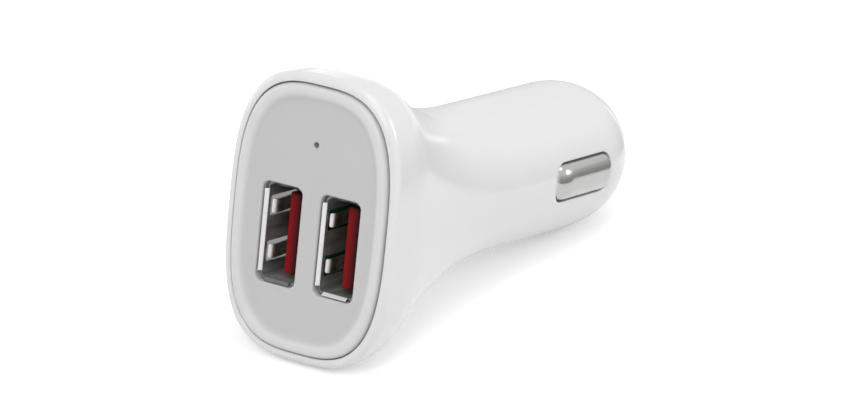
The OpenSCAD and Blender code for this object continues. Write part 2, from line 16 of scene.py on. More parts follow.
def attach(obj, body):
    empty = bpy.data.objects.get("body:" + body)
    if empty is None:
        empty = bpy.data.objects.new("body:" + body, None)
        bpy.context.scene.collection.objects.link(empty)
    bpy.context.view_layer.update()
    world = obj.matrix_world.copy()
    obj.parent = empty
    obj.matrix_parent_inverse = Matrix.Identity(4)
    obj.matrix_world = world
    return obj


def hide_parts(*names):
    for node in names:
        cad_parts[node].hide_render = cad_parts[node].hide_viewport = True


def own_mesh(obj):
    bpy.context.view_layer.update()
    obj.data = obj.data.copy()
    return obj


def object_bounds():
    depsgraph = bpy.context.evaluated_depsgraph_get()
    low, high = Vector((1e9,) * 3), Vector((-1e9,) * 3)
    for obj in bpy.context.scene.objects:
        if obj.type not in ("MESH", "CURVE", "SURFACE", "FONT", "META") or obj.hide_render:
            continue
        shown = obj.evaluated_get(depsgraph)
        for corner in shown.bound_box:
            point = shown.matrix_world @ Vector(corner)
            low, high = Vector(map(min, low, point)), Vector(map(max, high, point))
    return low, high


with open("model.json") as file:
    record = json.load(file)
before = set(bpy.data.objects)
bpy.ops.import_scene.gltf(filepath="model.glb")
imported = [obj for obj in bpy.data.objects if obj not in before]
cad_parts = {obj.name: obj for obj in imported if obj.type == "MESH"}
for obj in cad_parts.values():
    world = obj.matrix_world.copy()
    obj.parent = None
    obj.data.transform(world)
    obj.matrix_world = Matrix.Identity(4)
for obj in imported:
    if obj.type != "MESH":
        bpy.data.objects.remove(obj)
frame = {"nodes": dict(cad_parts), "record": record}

CAD_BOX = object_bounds()
NODES = frame["nodes"]
BODY_OF = {n: body for body, names in frame["record"]["behaviour"]["bodies"].items() for n in names}
SLOT_OF = {s["node"]: s["material_slot"] for s in frame["record"]["subparts"]}
MM = 0.001

# %% [markdown]
# ## Camera
# The photo was taken from the right of the plug's face and a little above it, with a long lens. The
# plug lies on its head's lower edge and its nose, so its own upright axis leans in the picture: the
# camera is rolled by that much. The camera comes first, because it tells which sides matter most.

# %% Camera
AZIMUTH = math.radians(31.31)
ELEVATION = math.radians(14.0)
ROLL = math.radians(5.82)
FOCAL_PX = 4914
IMAGE_W = 854
SENSOR = 36
CAMERA_PLACE = Vector((15.298, 2.059, 640)) * MM


def camera_axes():
    """Right, up and back of the camera, as unit vectors in the plug's frame."""
    back = Vector((
        math.sin(AZIMUTH) * math.cos(ELEVATION),
        -math.cos(AZIMUTH) * math.cos(ELEVATION),
        math.sin(ELEVATION),
    ))
    level_right = Vector((math.cos(AZIMUTH), math.sin(AZIMUTH), 0))
    level_up = back.cross(level_right)
    right = level_right * math.cos(ROLL) + level_up * math.sin(ROLL)
    return right, back.cross(right), back


def add_camera():
    camera = bpy.data.objects.new("camera", bpy.data.cameras.new("camera"))
    bpy.context.scene.collection.objects.link(camera)
    turn = Matrix(camera_axes()).transposed()
    camera.matrix_world = turn.to_4x4()
    camera.location = turn @ CAMERA_PLACE
    camera.data.sensor_width = SENSOR
    camera.data.lens = SENSOR * FOCAL_PX / IMAGE_W
    camera.data.clip_start = 0.05
    camera.data.clip_end = 20
    bpy.context.scene.camera = camera
    return camera


camera = add_camera()
print("camera at", tuple(round(x, 4) for x in camera.location), "lens", round(camera.data.lens, 1))

# %% [markdown]
# ## Helpers for modelling
# Each piece starts as a primitive and is shaped in edit mode. An operator acts on all that is
# selected, and loading leaves the solids selected, so everything is deselected before a primitive
# is added. Faces, edges and corners are then picked in code, by their place.


# %% Helpers for selecting
def start_clean():
    """Object mode with nothing selected."""
    if bpy.context.object and bpy.context.object.mode != "OBJECT":
        bpy.ops.object.mode_set(mode="OBJECT")
    bpy.ops.object.select_all(action="DESELECT")


def make_active(piece):
    start_clean()
    piece.select_set(True)
    bpy.context.view_layer.objects.active = piece
    return piece


def enter_edit(kind="VERT"):
    bpy.ops.object.mode_set(mode="EDIT")
    bpy.ops.mesh.select_mode(type=kind)


def middle(part):
    """Place of a corner, or the mean place of an edge's or face's corners."""
    if isinstance(part, bmesh.types.BMVert):
        return part.co
    return sum((v.co for v in part.verts), Vector()) / len(part.verts)


def pick(kind, test):
    """Selects the VERT, EDGE or FACE parts whose middle passes the test, and nothing else."""
    bpy.ops.mesh.select_mode(type=kind)
    bpy.ops.mesh.select_all(action="DESELECT")
    mesh = bmesh.from_edit_mesh(bpy.context.object.data)
    parts = {"VERT": mesh.verts, "EDGE": mesh.edges, "FACE": mesh.faces}[kind]
    for part in parts:
        if test(middle(part)):
            part.select_set(True)
    bmesh.update_edit_mesh(bpy.context.object.data)


def look_outward():
    """Makes the normals of a closed mesh agree, and turns them outward, which its volume's sign proves."""
    bpy.ops.mesh.select_all(action="SELECT")
    bpy.ops.mesh.normals_make_consistent(inside=False)
    if bmesh.from_edit_mesh(bpy.context.object.data).calc_volume(signed=True) < 0:
        bpy.ops.mesh.flip_normals()


def paint_faces(piece, material, test):
    if not piece.data.materials:
        piece.data.materials.append(None)
    piece.data.materials.append(material)
    for face in piece.data.polygons:
        if test(face.center / MM, face.normal):
            face.material_index = len(piece.data.materials) - 1


def apply_modifier(piece, kind, **settings):
    make_active(piece)
    modifier = piece.modifiers.new(kind.lower(), kind)
    for name, value in settings.items():
        setattr(modifier, name, value)
    bpy.ops.object.modifier_apply(modifier=modifier.name)


def cut(piece, *cutters):
    """Takes the cutters out of the piece, and deletes them."""
    for cutter in cutters:
        apply_modifier(piece, "BOOLEAN", object=cutter, operation="DIFFERENCE", solver="MANIFOLD")
        bpy.data.objects.remove(cutter)


def add_on(piece, *others):
    """Makes the others one solid with the piece."""
    for other in others:
        apply_modifier(piece, "BOOLEAN", object=other, operation="UNION", solver="MANIFOLD")
        bpy.data.objects.remove(other)


# %% [markdown]
# ## Lofting
# The housing and its plate change their outline along the way, from a square-rounded ring to a round
# one, which no single operator does. So a ring is drawn as a circle, its corners are put on the
# outline by its formula, and it is extruded from station to station, as a boat's hull is lofted.


# %% Helper for lofting
def place_ring(last, ring):
    """Moves the selected corners, which lie on the last ring's points, to the new ring's points."""
    mesh = bmesh.from_edit_mesh(bpy.context.object.data)
    index = {place: i for i, place in enumerate(last)}
    placed = [None] * len(ring)
    for v in mesh.verts:
        if v.select:
            i = index[tuple(v.co)]
            v.co = Vector(ring[i]) * MM
            placed[i] = tuple(v.co)
    bmesh.update_edit_mesh(bpy.context.object.data)
    return placed


def loft(name, rings, capped=True):
    """Extrudes a ring through all the rings' points, in mm. Uncapped rings end where they began."""
    start_clean()
    bpy.ops.mesh.primitive_circle_add(vertices=len(rings[0]), radius=1)
    piece = bpy.context.object
    piece.name = piece.data.name = name
    enter_edit()
    bpy.ops.mesh.select_all(action="SELECT")
    last = [tuple(v.co) for v in bmesh.from_edit_mesh(piece.data).verts]
    last = place_ring(last, rings[0])
    if capped:
        bpy.ops.mesh.edge_face_add()
    for ring in rings[1:]:
        if capped:
            bpy.ops.mesh.extrude_region_move()
        else:
            bpy.ops.mesh.extrude_edges_move()
        last = place_ring(last, ring)
    bpy.ops.mesh.select_all(action="SELECT")
    bpy.ops.mesh.remove_doubles(threshold=MM / 1000)
    look_outward()
    bpy.ops.object.mode_set(mode="OBJECT")
    return piece


def superellipse(a, b, n, t):
    """Radius at angle t of a superellipse with half axes a and b."""
    return (abs(math.cos(t) / a) ** n + abs(math.sin(t) / b) ** n) ** (-1 / n)


def ring_at(y, radius, count):
    """Points round the plug's axis at y, where radius gives the radius at an angle."""
    turns = [2 * math.pi * i / count for i in range(count)]
    return [(radius(t) * math.cos(t), y, radius(t) * math.sin(t)) for t in turns]


def rounded_outline(w, h, r, arc_steps=6, side_steps=3):
    """Points round a rectangle w by h with corners of radius r, about its middle."""
    points = []
    corners = [(1, 1, 0), (-1, 1, 90), (-1, -1, 180), (1, -1, 270)]
    for sx, sy, start in corners:
        middle_x, middle_y = sx * (w / 2 - r), sy * (h / 2 - r)
        for k in range(arc_steps + 1):
            t = math.radians(start + 90 * k / arc_steps)
            points.append((middle_x + r * math.cos(t), middle_y + r * math.sin(t)))
        if start in (0, 180):
            end = (-middle_x, middle_y + sy * r)
        else:
            end = (middle_x + sx * r, -middle_y)
        begin = points[-1]
        for k in range(1, side_steps):
            f = k / side_steps
            points.append((begin[0] + (end[0] - begin[0]) * f, begin[1] + (end[1] - begin[1]) * f))
    return points


def quarter(steps):
    """Angles of a quarter turn."""
    return [math.pi / 2 * k / steps for k in range(steps + 1)]


# %% [markdown]
# ## Bent sheet
# The contacts, spring fingers and leaf springs are strips of sheet metal with rounded bends. A
# strip's section is lofted along its middle line, on which each corner becomes a short curve. A
# free end may be rounded, as a stamping tool leaves it.


# %% Helpers for strips
def rounded_path(points, bend, steps=4):
    """The path with each corner turned into a curve that begins and ends bend away from it."""
    points = [Vector(p) for p in points]
    path = [points[0]]
    for before, corner, after in zip(points, points[1:], points[2:]):
        reach = min(bend, (corner - before).length / 2.2, (after - corner).length / 2.2)
        start = corner + (before - corner).normalized() * reach
        end = corner + (after - corner).normalized() * reach
        for k in range(steps + 1):
            f = k / steps
            path.append(start * (1 - f) ** 2 + corner * 2 * f * (1 - f) + end * f ** 2)
    return path + [points[-1]]


def strip_ring(place, along, t, width, middle_z):
    """Section of a strip at a place on its middle line, across the direction along."""
    across = Vector((-along.y, along.x)).normalized()
    section = rounded_outline(t, width, min(t, width) * 0.2, 2, 2)
    return [(place.x + a * across.x, place.y + a * across.y, middle_z + b) for a, b in section]


def bent_strip(name, points, t, width, middle_z, bend=0.3, end_round=0.0):
    """A strip along points (x, y), with its last end rounded in its width."""
    path = rounded_path(points, bend)
    last = (path[-1] - path[-2]).normalized()
    rings = []
    for before, here, after in zip(path[:1] + path, path, path[1:] + path[-1:]):
        rings.append(strip_ring(here, after - before, t, width, middle_z))
    if end_round:
        rings.pop()
        for angle in quarter(5):
            place = path[-1] - last * end_round * (1 - math.sin(angle))
            narrow = end_round * (1 - math.cos(angle))
            rings.append(strip_ring(place, last, t, width - 2 * narrow, middle_z))
    return loft(name, rings)


# %% [markdown]
# ## Blocks and copies
# Moulded blocks start as a cube with bevelled edges. What repeats on the real plug is modelled once
# here too. Each copy gets a mesh of its own, because each stands for a piece of its own.


# %% Helpers for blocks and copies
def block(name, low, high, edge=0.0, segments=3):
    """A cuboid between two corners in millimetres, with all its edges rounded."""
    low, high = Vector(low), Vector(high)
    start_clean()
    bpy.ops.mesh.primitive_cube_add(size=1, location=(low + high) / 2 * MM, scale=(high - low) * MM)
    piece = bpy.context.object
    piece.name = piece.data.name = name
    bpy.ops.object.transform_apply(location=True, rotation=True, scale=True)
    if edge:
        enter_edit("EDGE")
        bpy.ops.mesh.select_all(action="SELECT")
        bpy.ops.mesh.bevel(offset=edge * MM, segments=segments, affect="EDGES")
        bpy.ops.object.mode_set(mode="OBJECT")
    return piece


def copy_of(piece, name, move=(0, 0, 0), mirrored=False):
    """A copy moved by millimetres, or mirrored to the other side of the plug."""
    make_active(piece)
    bpy.ops.object.duplicate()
    twin = bpy.context.object
    twin.name = twin.data.name = name
    twin.location = Vector(move) * MM
    if mirrored:
        twin.scale.x = -1
    bpy.ops.object.transform_apply(location=True, rotation=True, scale=True)
    return twin


def joined(piece, *others):
    """One object of several that touch, such as sheet strips rooted in a wall."""
    make_active(piece)
    for other in others:
        other.select_set(True)
    bpy.ops.object.join()
    return piece


# %% [markdown]
# ## Finishing a piece
# Curved surfaces are shaded smooth, and edges over an angle stay sharp. The broad faces then decide
# the normals, so that a cut in a flat or slowly curved surface leaves no smear round it.


# %% Helper for finishing
def finish(piece, node, material, sharp=35):
    """Shades the piece, gives it its material, and sets it in the place of the CAD node."""
    make_active(piece)
    enter_edit()
    look_outward()
    bpy.ops.object.mode_set(mode="OBJECT")
    bpy.ops.object.transform_apply(location=True, rotation=True, scale=True)
    bpy.ops.object.shade_smooth_by_angle(angle=math.radians(sharp))
    apply_modifier(piece, "WEIGHTED_NORMAL", keep_sharp=True, weight=80)
    if piece.data.materials:
        piece.data.materials[0] = material
    else:
        piece.data.materials.append(material)
    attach(piece, BODY_OF[node])
    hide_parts(node)
    print(piece.name, "stands for", node, "with", len(piece.data.polygons), "faces")


# %% [markdown]
# ## Materials
# Moulded plastic is never one flat colour: it has faint flow clouds, a fine skin from the mould and
# finger-light smudges that change its gloss. Sheet metal shows the rolling marks along one way. One
# group makes both, from noise that a stretch turns into grain or lines.


# %% Helpers for nodes
def ranged(nodes, link, value, source, target=(0, 1)):
    """Maps a value from one range to another, held within it, and returns the socket."""
    node = nodes.new("ShaderNodeMapRange")
    node.inputs["From Min"].default_value, node.inputs["From Max"].default_value = source
    node.inputs["To Min"].default_value, node.inputs["To Max"].default_value = target
    link(value, node.inputs["Value"])
    return node.outputs["Result"]


def maths(nodes, link, operation, *values):
    """A sum of one operation on sockets and numbers, as a socket."""
    node = nodes.new("ShaderNodeMath")
    node.operation = operation
    for entry, value in zip(node.inputs, values):
        if isinstance(value, (int, float)):
            entry.default_value = value
        else:
            link(value, entry)
    return node.outputs[0]


def object_place(nodes, link):
    """The place on the piece, split into X, Y and Z."""
    place, split = nodes.new("ShaderNodeTexCoord"), nodes.new("ShaderNodeSeparateXYZ")
    link(place.outputs["Object"], split.inputs["Vector"])
    return split.outputs


def new_tree(name):
    """A material's nodes and its link call, without the standard shader."""
    made = bpy.data.materials.new(name)
    made.use_nodes = True
    nodes, link = made.node_tree.nodes, made.node_tree.links.new
    nodes.remove(nodes["Principled BSDF"])
    return made, nodes, link


# %% Group for clouds, grain and smudges
def new_socket(group, name, kind, way, value=None):
    socket = group.interface.new_socket(name=name, in_out=way, socket_type=kind)
    if value is not None:
        socket.default_value = value


def surface_group():
    group = bpy.data.node_groups.new("surface_marks", "ShaderNodeTree")
    new_socket(group, "Stretch", "NodeSocketVector", "INPUT", (1, 1, 1))
    new_socket(group, "Cloud Scale", "NodeSocketFloat", "INPUT", 60)
    new_socket(group, "Grain Scale", "NodeSocketFloat", "INPUT", 2500)
    new_socket(group, "Clouds", "NodeSocketFloat", "OUTPUT")
    new_socket(group, "Grain", "NodeSocketFloat", "OUTPUT")
    new_socket(group, "Smudges", "NodeSocketFloat", "OUTPUT")
    node, link = group.nodes.new, group.links.new
    entry, leave = node("NodeGroupInput"), node("NodeGroupOutput")
    place, mapping = node("ShaderNodeTexCoord"), node("ShaderNodeMapping")
    link(place.outputs["Object"], mapping.inputs["Vector"])
    link(entry.outputs["Stretch"], mapping.inputs["Scale"])
    for name, scale, detail in (("Clouds", "Cloud Scale", 3), ("Grain", "Grain Scale", 2)):
        noise = node("ShaderNodeTexNoise")
        noise.inputs["Detail"].default_value = detail
        link(mapping.outputs["Vector"], noise.inputs["Vector"])
        link(entry.outputs[scale], noise.inputs["Scale"])
        link(noise.outputs["Fac"], leave.inputs[name])
    smudge = node("ShaderNodeTexNoise")
    smudge.inputs["Scale"].default_value = 140
    smudge.inputs["Detail"].default_value = 5
    smudge.inputs["Distortion"].default_value = 0.6
    link(place.outputs["Object"], smudge.inputs["Vector"])
    sharpened = ranged(group.nodes, link, smudge.outputs["Fac"], (0.4, 0.7))
    link(sharpened, leave.inputs["Smudges"])
    return group


SURFACE = surface_group()
print("group with", len(SURFACE.nodes), "nodes")


# %% Helper for materials
def material(name, dark, light, rough, metallic=0.0, bump=0.02, stretch=(1, 1, 1), clouds=60,
             grain=2500, **fixed):
    """A finish between two close tones, with a gloss range and a fine bump. fixed sets shader sockets."""
    made = bpy.data.materials.new(name)
    made.use_nodes = True
    nodes, link = made.node_tree.nodes, made.node_tree.links.new
    shader = nodes["Principled BSDF"]
    marks = nodes.new("ShaderNodeGroup")
    marks.node_tree = SURFACE
    marks.inputs["Stretch"].default_value = stretch
    marks.inputs["Cloud Scale"].default_value = clouds
    marks.inputs["Grain Scale"].default_value = grain
    tone = nodes.new("ShaderNodeMix")
    tone.data_type = "RGBA"
    tone.inputs["A"].default_value = (*dark, 1)
    tone.inputs["B"].default_value = (*light, 1)
    link(marks.outputs["Clouds"], tone.inputs["Factor"])
    link(tone.outputs["Result"], shader.inputs["Base Color"])
    link(ranged(nodes, link, marks.outputs["Smudges"], (0, 1), rough), shader.inputs["Roughness"])
    relief = nodes.new("ShaderNodeBump")
    relief.inputs["Strength"].default_value = bump
    relief.inputs["Distance"].default_value = 0.05 * MM
    link(marks.outputs["Grain"], relief.inputs["Height"])
    link(relief.outputs["Normal"], shader.inputs["Normal"])
    shader.inputs["Metallic"].default_value = metallic
    for socket, value in fixed.items():
        shader.inputs[socket.replace("_", " ")].default_value = value
    return made


def grey(value, warm=0.0):
    """A grey as a colour, warmer where warm is over 0."""
    return (value * (1 + warm), value, value * (1 - warm))


MATERIALS = {
    "white_plastic": material("white_plastic", grey(0.75), grey(0.78), (0.14, 0.22), bump=0.03),
    # The inner skin's faint emission is a painted glow that stands in for light through the thin wall.
    "painted_glow_skin": material("painted_glow_skin", grey(0.75), grey(0.78), (0.35, 0.45), bump=0.10,
                           Emission_Color=(1, 1, 1, 1), Emission_Strength=0.22),
    "grey_plastic": material("grey_plastic", grey(0.54), grey(0.57), (0.36, 0.44), bump=0.10),
    "red_plastic": material("red_plastic", (0.18, 0.003, 0.005), (0.22, 0.004, 0.007), (0.40, 0.50),
                            Specular_IOR_Level=0.10),
    "board_laminate": material("board_laminate", (0.01, 0.09, 0.035), (0.02, 0.14, 0.05), (0.30, 0.42),
                               bump=0.2, clouds=400, grain=1200),
    # The shell's own steel is kept dark: painted shade on its notched corners, its outside and its top and
    # right lips.
    "shell_steel": material("shell_steel", grey(0.10), grey(0.24), (0.30, 0.42), metallic=1.0,
                            bump=0.10, stretch=(1, 0.08, 0.4), clouds=1400),
    # Rolling marks made strong and pale, on a lighter tone than the shell's steel: painted light and
    # streaky reflections inside the sockets.
    "lit_streaked_steel": material("lit_streaked_steel", grey(0.05), grey(0.95), (0.34, 0.50), metallic=0.85,
                           bump=0.25, stretch=(1, 0.10, 0.8), clouds=1100, grain=1800),
    # Lighter polished steel: painted light on the lips that face the light and on the fingers' ramps and
    # crests.
    "polished_lit_steel": material("polished_lit_steel", grey(0.56), grey(0.72), (0.30, 0.38), metallic=1.0,
                               bump=0.03, stretch=(1, 1, 0.1), clouds=700),
    "lower_lip_steel": material("lower_lip_steel", grey(0.56), grey(0.72), (0.30, 0.38), metallic=1.0),
    "contact_gold": material("contact_gold", (0.75, 0.50, 0.19), (0.85, 0.60, 0.26), (0.18, 0.28),
                             metallic=1.0, bump=0.03),
    "black_resin": material("black_resin", grey(0.012), grey(0.022), (0.45, 0.60), bump=0.5, grain=4000),
    "ferrite": material("ferrite", grey(0.045, 0.05), grey(0.075, 0.05), (0.55, 0.7), bump=0.5,
                        grain=3000),
    "can_aluminium": material("can_aluminium", grey(0.62), grey(0.70), (0.25, 0.35), metallic=1.0,
                              bump=0.04, stretch=(1, 1, 0.05)),
    "fuse_body": material("fuse_body", (0.40, 0.33, 0.17), (0.50, 0.42, 0.24), (0.4, 0.5), bump=0.2),
    "lamp_resin": material("lamp_resin", (0.46, 0.50, 0.52), (0.56, 0.60, 0.62), (0.10, 0.16)),
    "resistor_ceramic": material("resistor_ceramic", grey(0.02), grey(0.035), (0.35, 0.5), bump=0.3),
    "nickel_plate": material("nickel_plate", grey(0.43, 0.01), grey(0.50, 0.01), (0.18, 0.26),
                             metallic=1.0, bump=0.06, stretch=(1, 0.08, 1), clouds=500, grain=1500),
    "spring_steel": material("spring_steel", grey(0.40), grey(0.50), (0.22, 0.32), metallic=1.0),
    "terminal_brass": material("terminal_brass", (0.60, 0.42, 0.16), (0.70, 0.50, 0.20), (0.25, 0.4),
                               metallic=1.0, bump=0.05),
}
print(len(MATERIALS), "materials")

# %% [markdown]
# Three finishes also change with the place on their piece. The plate's rim is painted lighter than its
# middle, as painted light on the raised rim. The tongues get painted shade behind their front edge,
# toward the shell's wall and toward their top, where the shell shades them, so they leave no red on
# its walls. The board has copper tracks under its lacquer.


# %% Tones that change along an axis
PORT_PITCH = 9.15


def mix_in(name, colour, share_of):
    """Mixes a colour into a material, by the share that share_of makes from the place on the piece."""
    nodes, link = MATERIALS[name].node_tree.nodes, MATERIALS[name].node_tree.links.new
    base = nodes["Principled BSDF"].inputs["Base Color"]
    before = base.links[0].from_socket
    tone = nodes.new("ShaderNodeMix")
    tone.data_type = "RGBA"
    tone.inputs["B"].default_value = (*colour, 1)
    link(share_of(nodes, link), tone.inputs["Factor"])
    link(before, tone.inputs["A"])
    link(tone.outputs["Result"], base)


def tone_along(name, axis, start, end, colour):
    """Mixes in none of a colour at start and all of it at end, on an axis. X counts from each port."""

    def share(nodes, link):
        distance = object_place(nodes, link)[axis]
        if axis == "X":
            half = PORT_PITCH / 2 * MM
            distance = maths(nodes, link, "WRAP", maths(nodes, link, "ADD", distance, half), half, -half)
        return ranged(nodes, link, distance, (start * MM, end * MM))

    mix_in(name, colour, share)
    print(name, "changes its tone along", axis, "between", start, "and", end)


# Painted light on the plate: its raised rim is mixed to a lighter grey, more so toward its crest.
tone_along("grey_plastic", "Y", -0.15, -0.48, grey(0.70))
# Painted shade on the tongues: darker toward the shell's wall, toward their top and behind their front
# edge.
tone_along("red_plastic", "X", 0.65, 1.6, (0.040, 0.002, 0.004))
tone_along("red_plastic", "Z", 1.9, 2.9, (0.014, 0.002, 0.002))
tone_along("red_plastic", "Y", 2.2, 3.2, (0.012, 0.004, 0.004))


def tracks(nodes, link):
    """The joints of a brick pattern laid on the board's face, as paler tracks under its lacquer."""
    place, flat = object_place(nodes, link), nodes.new("ShaderNodeCombineXYZ")
    net = nodes.new("ShaderNodeTexBrick")
    net.inputs["Scale"].default_value = 400
    net.inputs["Mortar Size"].default_value = 0.05
    net.inputs["Brick Width"].default_value = 1.4
    net.inputs["Row Height"].default_value = 0.35
    link(place["Y"], flat.inputs["X"])
    link(place["Z"], flat.inputs["Y"])
    link(flat.outputs["Vector"], net.inputs["Vector"])
    return net.outputs["Fac"]


mix_in("board_laminate", (0.06, 0.26, 0.10), tracks)
print("board_laminate has tracks")

# %% [markdown]
# ## Studio
# The photo is a catalogue picture: white all round, soft light from above and a room that is darker
# behind the white. The floor leans under the plug, because the plug lies on its head's lower edge and
# its nose while this frame keeps its axis level. White is what the camera sees, not extra light.


# %% Floor under the plug
def resting_plane(points):
    """Slope along y and height at y = 0 of the plane that the plug lies on, from (y, z) of its corners."""
    split = CAD_BOX[0].y + (CAD_BOX[1].y - CAD_BOX[0].y) / 2
    head = [p for p in points if p[0] < split]
    nose = [p for p in points if p[0] >= split]
    low, high = 0.0, 0.5
    for _ in range(40):
        slope = (low + high) / 2
        lean = min(z - slope * y for y, z in head) - min(z - slope * y for y, z in nose)
        low, high = (slope, high) if lean < 0 else (low, slope)
    return slope, min(z - slope * y for y, z in head)


def light_mask(nodes, link):
    """1 for what the camera sees, straight or in gloss and glass, and 0 for light on the object."""
    path = nodes.new("ShaderNodeLightPath").outputs
    both = maths(nodes, link, "MAXIMUM", path["Is Camera Ray"], path["Is Glossy Ray"])
    return maths(nodes, link, "MAXIMUM", both, path["Is Transmission Ray"])


FLOOR_GLOW, GLOW_FROM, GLOW_TO = 0.38, 0.10, 0.35


def floor_material():
    """Pale and matt. The glow is only for the camera and reflections, and the shadow stays in it."""
    made, nodes, link = new_tree("studio_floor")
    matt, glow = nodes.new("ShaderNodeBsdfDiffuse"), nodes.new("ShaderNodeEmission")
    matt.inputs["Color"].default_value = (0.82, 0.82, 0.82, 1)
    place, distance = nodes.new("ShaderNodeTexCoord"), nodes.new("ShaderNodeVectorMath")
    distance.operation = "LENGTH"
    link(place.outputs["Object"], distance.inputs[0])
    farther = ranged(nodes, link, distance.outputs["Value"], (GLOW_FROM, GLOW_TO), (FLOOR_GLOW, 1))
    link(maths(nodes, link, "MULTIPLY", light_mask(nodes, link), farther), glow.inputs["Strength"])
    total, side = nodes.new("ShaderNodeAddShader"), nodes.new("ShaderNodeMixShader")
    link(matt.outputs[0], total.inputs[0])
    link(glow.outputs[0], total.inputs[1])
    back, clear = nodes.new("ShaderNodeNewGeometry"), nodes.new("ShaderNodeBsdfTransparent")
    link(back.outputs["Backfacing"], side.inputs[0])
    link(total.outputs[0], side.inputs[1])
    link(clear.outputs[0], side.inputs[2])
    link(side.outputs[0], nodes["Material Output"].inputs["Surface"])
    return made


def add_floor():
    housing = NODES["housing"].data.vertices
    slope, height = resting_plane([(v.co.y, v.co.z) for v in housing])
    start_clean()
    bpy.ops.mesh.primitive_plane_add(size=6, location=(0, 0, height), rotation=(math.atan(slope), 0, 0))
    floor = bpy.context.object
    floor.name = "studio_floor"
    floor.data.materials.append(floor_material())
    print("rest angle", round(math.degrees(math.atan(slope)), 2), "degrees")


add_floor()


# %% World and lamps
WORLD_LIGHT = 0.44


def add_world():
    """White where the camera or a reflection looks, and a little less as light on the object."""
    world = bpy.data.worlds.new("studio_world")
    bpy.context.scene.world = world
    world.use_nodes = True
    nodes, link = world.node_tree.nodes, world.node_tree.links.new
    strength = ranged(nodes, link, light_mask(nodes, link), (0, 1), (WORLD_LIGHT, 1))
    link(strength, nodes["Background"].inputs["Strength"])
    nodes["Background"].inputs["Color"].default_value = (1, 1, 1, 1)


LAMP_AIM = Vector((0, 0.03, 0))


def add_lamp(name, place, size, power):
    lamp = bpy.data.objects.new(name, bpy.data.lights.new(name, "AREA"))
    bpy.context.scene.collection.objects.link(lamp)
    lamp.data.shape = "RECTANGLE"
    lamp.data.size, lamp.data.size_y = size
    lamp.data.energy = power
    lamp.location = place
    lamp.rotation_euler = (LAMP_AIM - Vector(place)).to_track_quat("-Z", "Y").to_euler()


def card_material(name, height, shades):
    """Grey that grows lighter from the card's lower edge to its upper edge."""
    made, nodes, link = new_tree(name)
    glow = nodes.new("ShaderNodeEmission")
    shade = ranged(nodes, link, object_place(nodes, link)["Z"], (-height / 2, height / 2), shades)
    link(shade, glow.inputs["Strength"])
    link(glow.outputs[0], nodes["Material Output"].inputs["Surface"])
    return made


CARD_Y, CARD_R, CARD_HIGH, CARD_TO = 0.0526, 0.055, 0.0225, 85


def grey_card(name, side, turn_from, low, shades):
    """A curved card beside the plug, which shows only in reflections and makes metal look like metal."""
    start_clean()
    bpy.ops.mesh.primitive_cylinder_add(vertices=96, radius=CARD_R, depth=CARD_HIGH - low,
                                        end_fill_type="NOTHING",
                                        location=(0, CARD_Y, (low + CARD_HIGH) / 2))
    card = bpy.context.object
    card.name = name
    enter_edit("FACE")
    pick("FACE", lambda p: not turn_from <= math.degrees(math.atan2(p.y, side * p.x)) <= CARD_TO)
    bpy.ops.mesh.delete(type="FACE")
    bpy.ops.object.mode_set(mode="OBJECT")
    card.data.materials.append(card_material(name, CARD_HIGH - low, shades))
    card.visible_camera = card.visible_diffuse = card.visible_shadow = False


bpy.context.scene.view_settings.view_transform = "Standard"
add_world()
add_lamp("top_softbox", (0.15, -0.1, 0.9), (0.6, 0.5), 2.2)
add_lamp("key_softbox", (0.25, -0.85, 0.55), (0.6, 0.6), 4.2)
add_lamp("side_softbox", (0.78, 0.52, 0.5), (0.34, 0.34), 2.6)
add_lamp("fill_softbox", (-0.95, -0.1, 0.12), (0.6, 0.6), 2.0)
grey_card("card_right", 1, -40, -0.007, (0.28, 0.82))
grey_card("card_left", -1, -65, -0.016, (0.35, 0.90))
print("studio ready")

# %% [markdown]
# ## Housing
# The head, the long hollow flare, the barrel and the nose are one glossy moulding. The rings follow
# the outline's formula, so the flare keeps the curve of the real one all the way. The skin goes
# round the lip, over the nose, in through the tip's hole and back inside, as one closed wall.

# %% Sizes of the housing, in millimetres
HEAD_W, HEAD_H, HEAD_N = 26.4, 38.9, 3.1
LIP_PROUD, LIP_ROUND, LIP_DEPTH = 0.2, 1.0, 1.3
LIP_WALL_X, LIP_WALL_Z = 1.2, 1.3
HEAD_DEPTH, HEAD_DRAFT = 6.4, 0.38
FLARE_END, START_POWER, END_POWER = 42.0, 1.06, 2.87
SHOULDER_SOFT, SHOULDER_LEAD = 1.8, 0.5
SQUARENESS_POWER = 0.78
BARREL_R, FLARE_SINK, BLEND = 10.4, 0.15, 0.05
NOSE_END, NOSE_ROUND, NOSE_DRAW = 70.1, 10.1, 6.6
WALL, NOSE_WALL = 2.0, 2.2
LEDGE_Y = 1.6
TIP_HOLE_R, SEAT_R, BORE_PAST = 2.85, 4.8, 1.5
ROUND = 160
BACK_A, BACK_B = HEAD_W / 2 - HEAD_DRAFT, HEAD_H / 2 - HEAD_DRAFT
FLARE_R = BARREL_R - FLARE_SINK
POCKET_A, POCKET_B = HEAD_W / 2 - LIP_WALL_X, HEAD_H / 2 - LIP_WALL_Z
NOSE_START, NOSE_INNER = NOSE_END - NOSE_ROUND, NOSE_END - NOSE_WALL


# %% Outline of the housing at any place along it
def raw_share(y):
    u = min(max((y - HEAD_DEPTH) / (FLARE_END - HEAD_DEPTH), 0), 1)
    return (1 - u ** START_POWER) ** END_POWER


def flare_share(y):
    """Share of the head's size left at y, with the shoulder rounded as a mean over a short stretch."""
    steps = range(-4, 5)
    return sum(raw_share(y + SHOULDER_SOFT * k / 4) for k in steps) / len(steps)


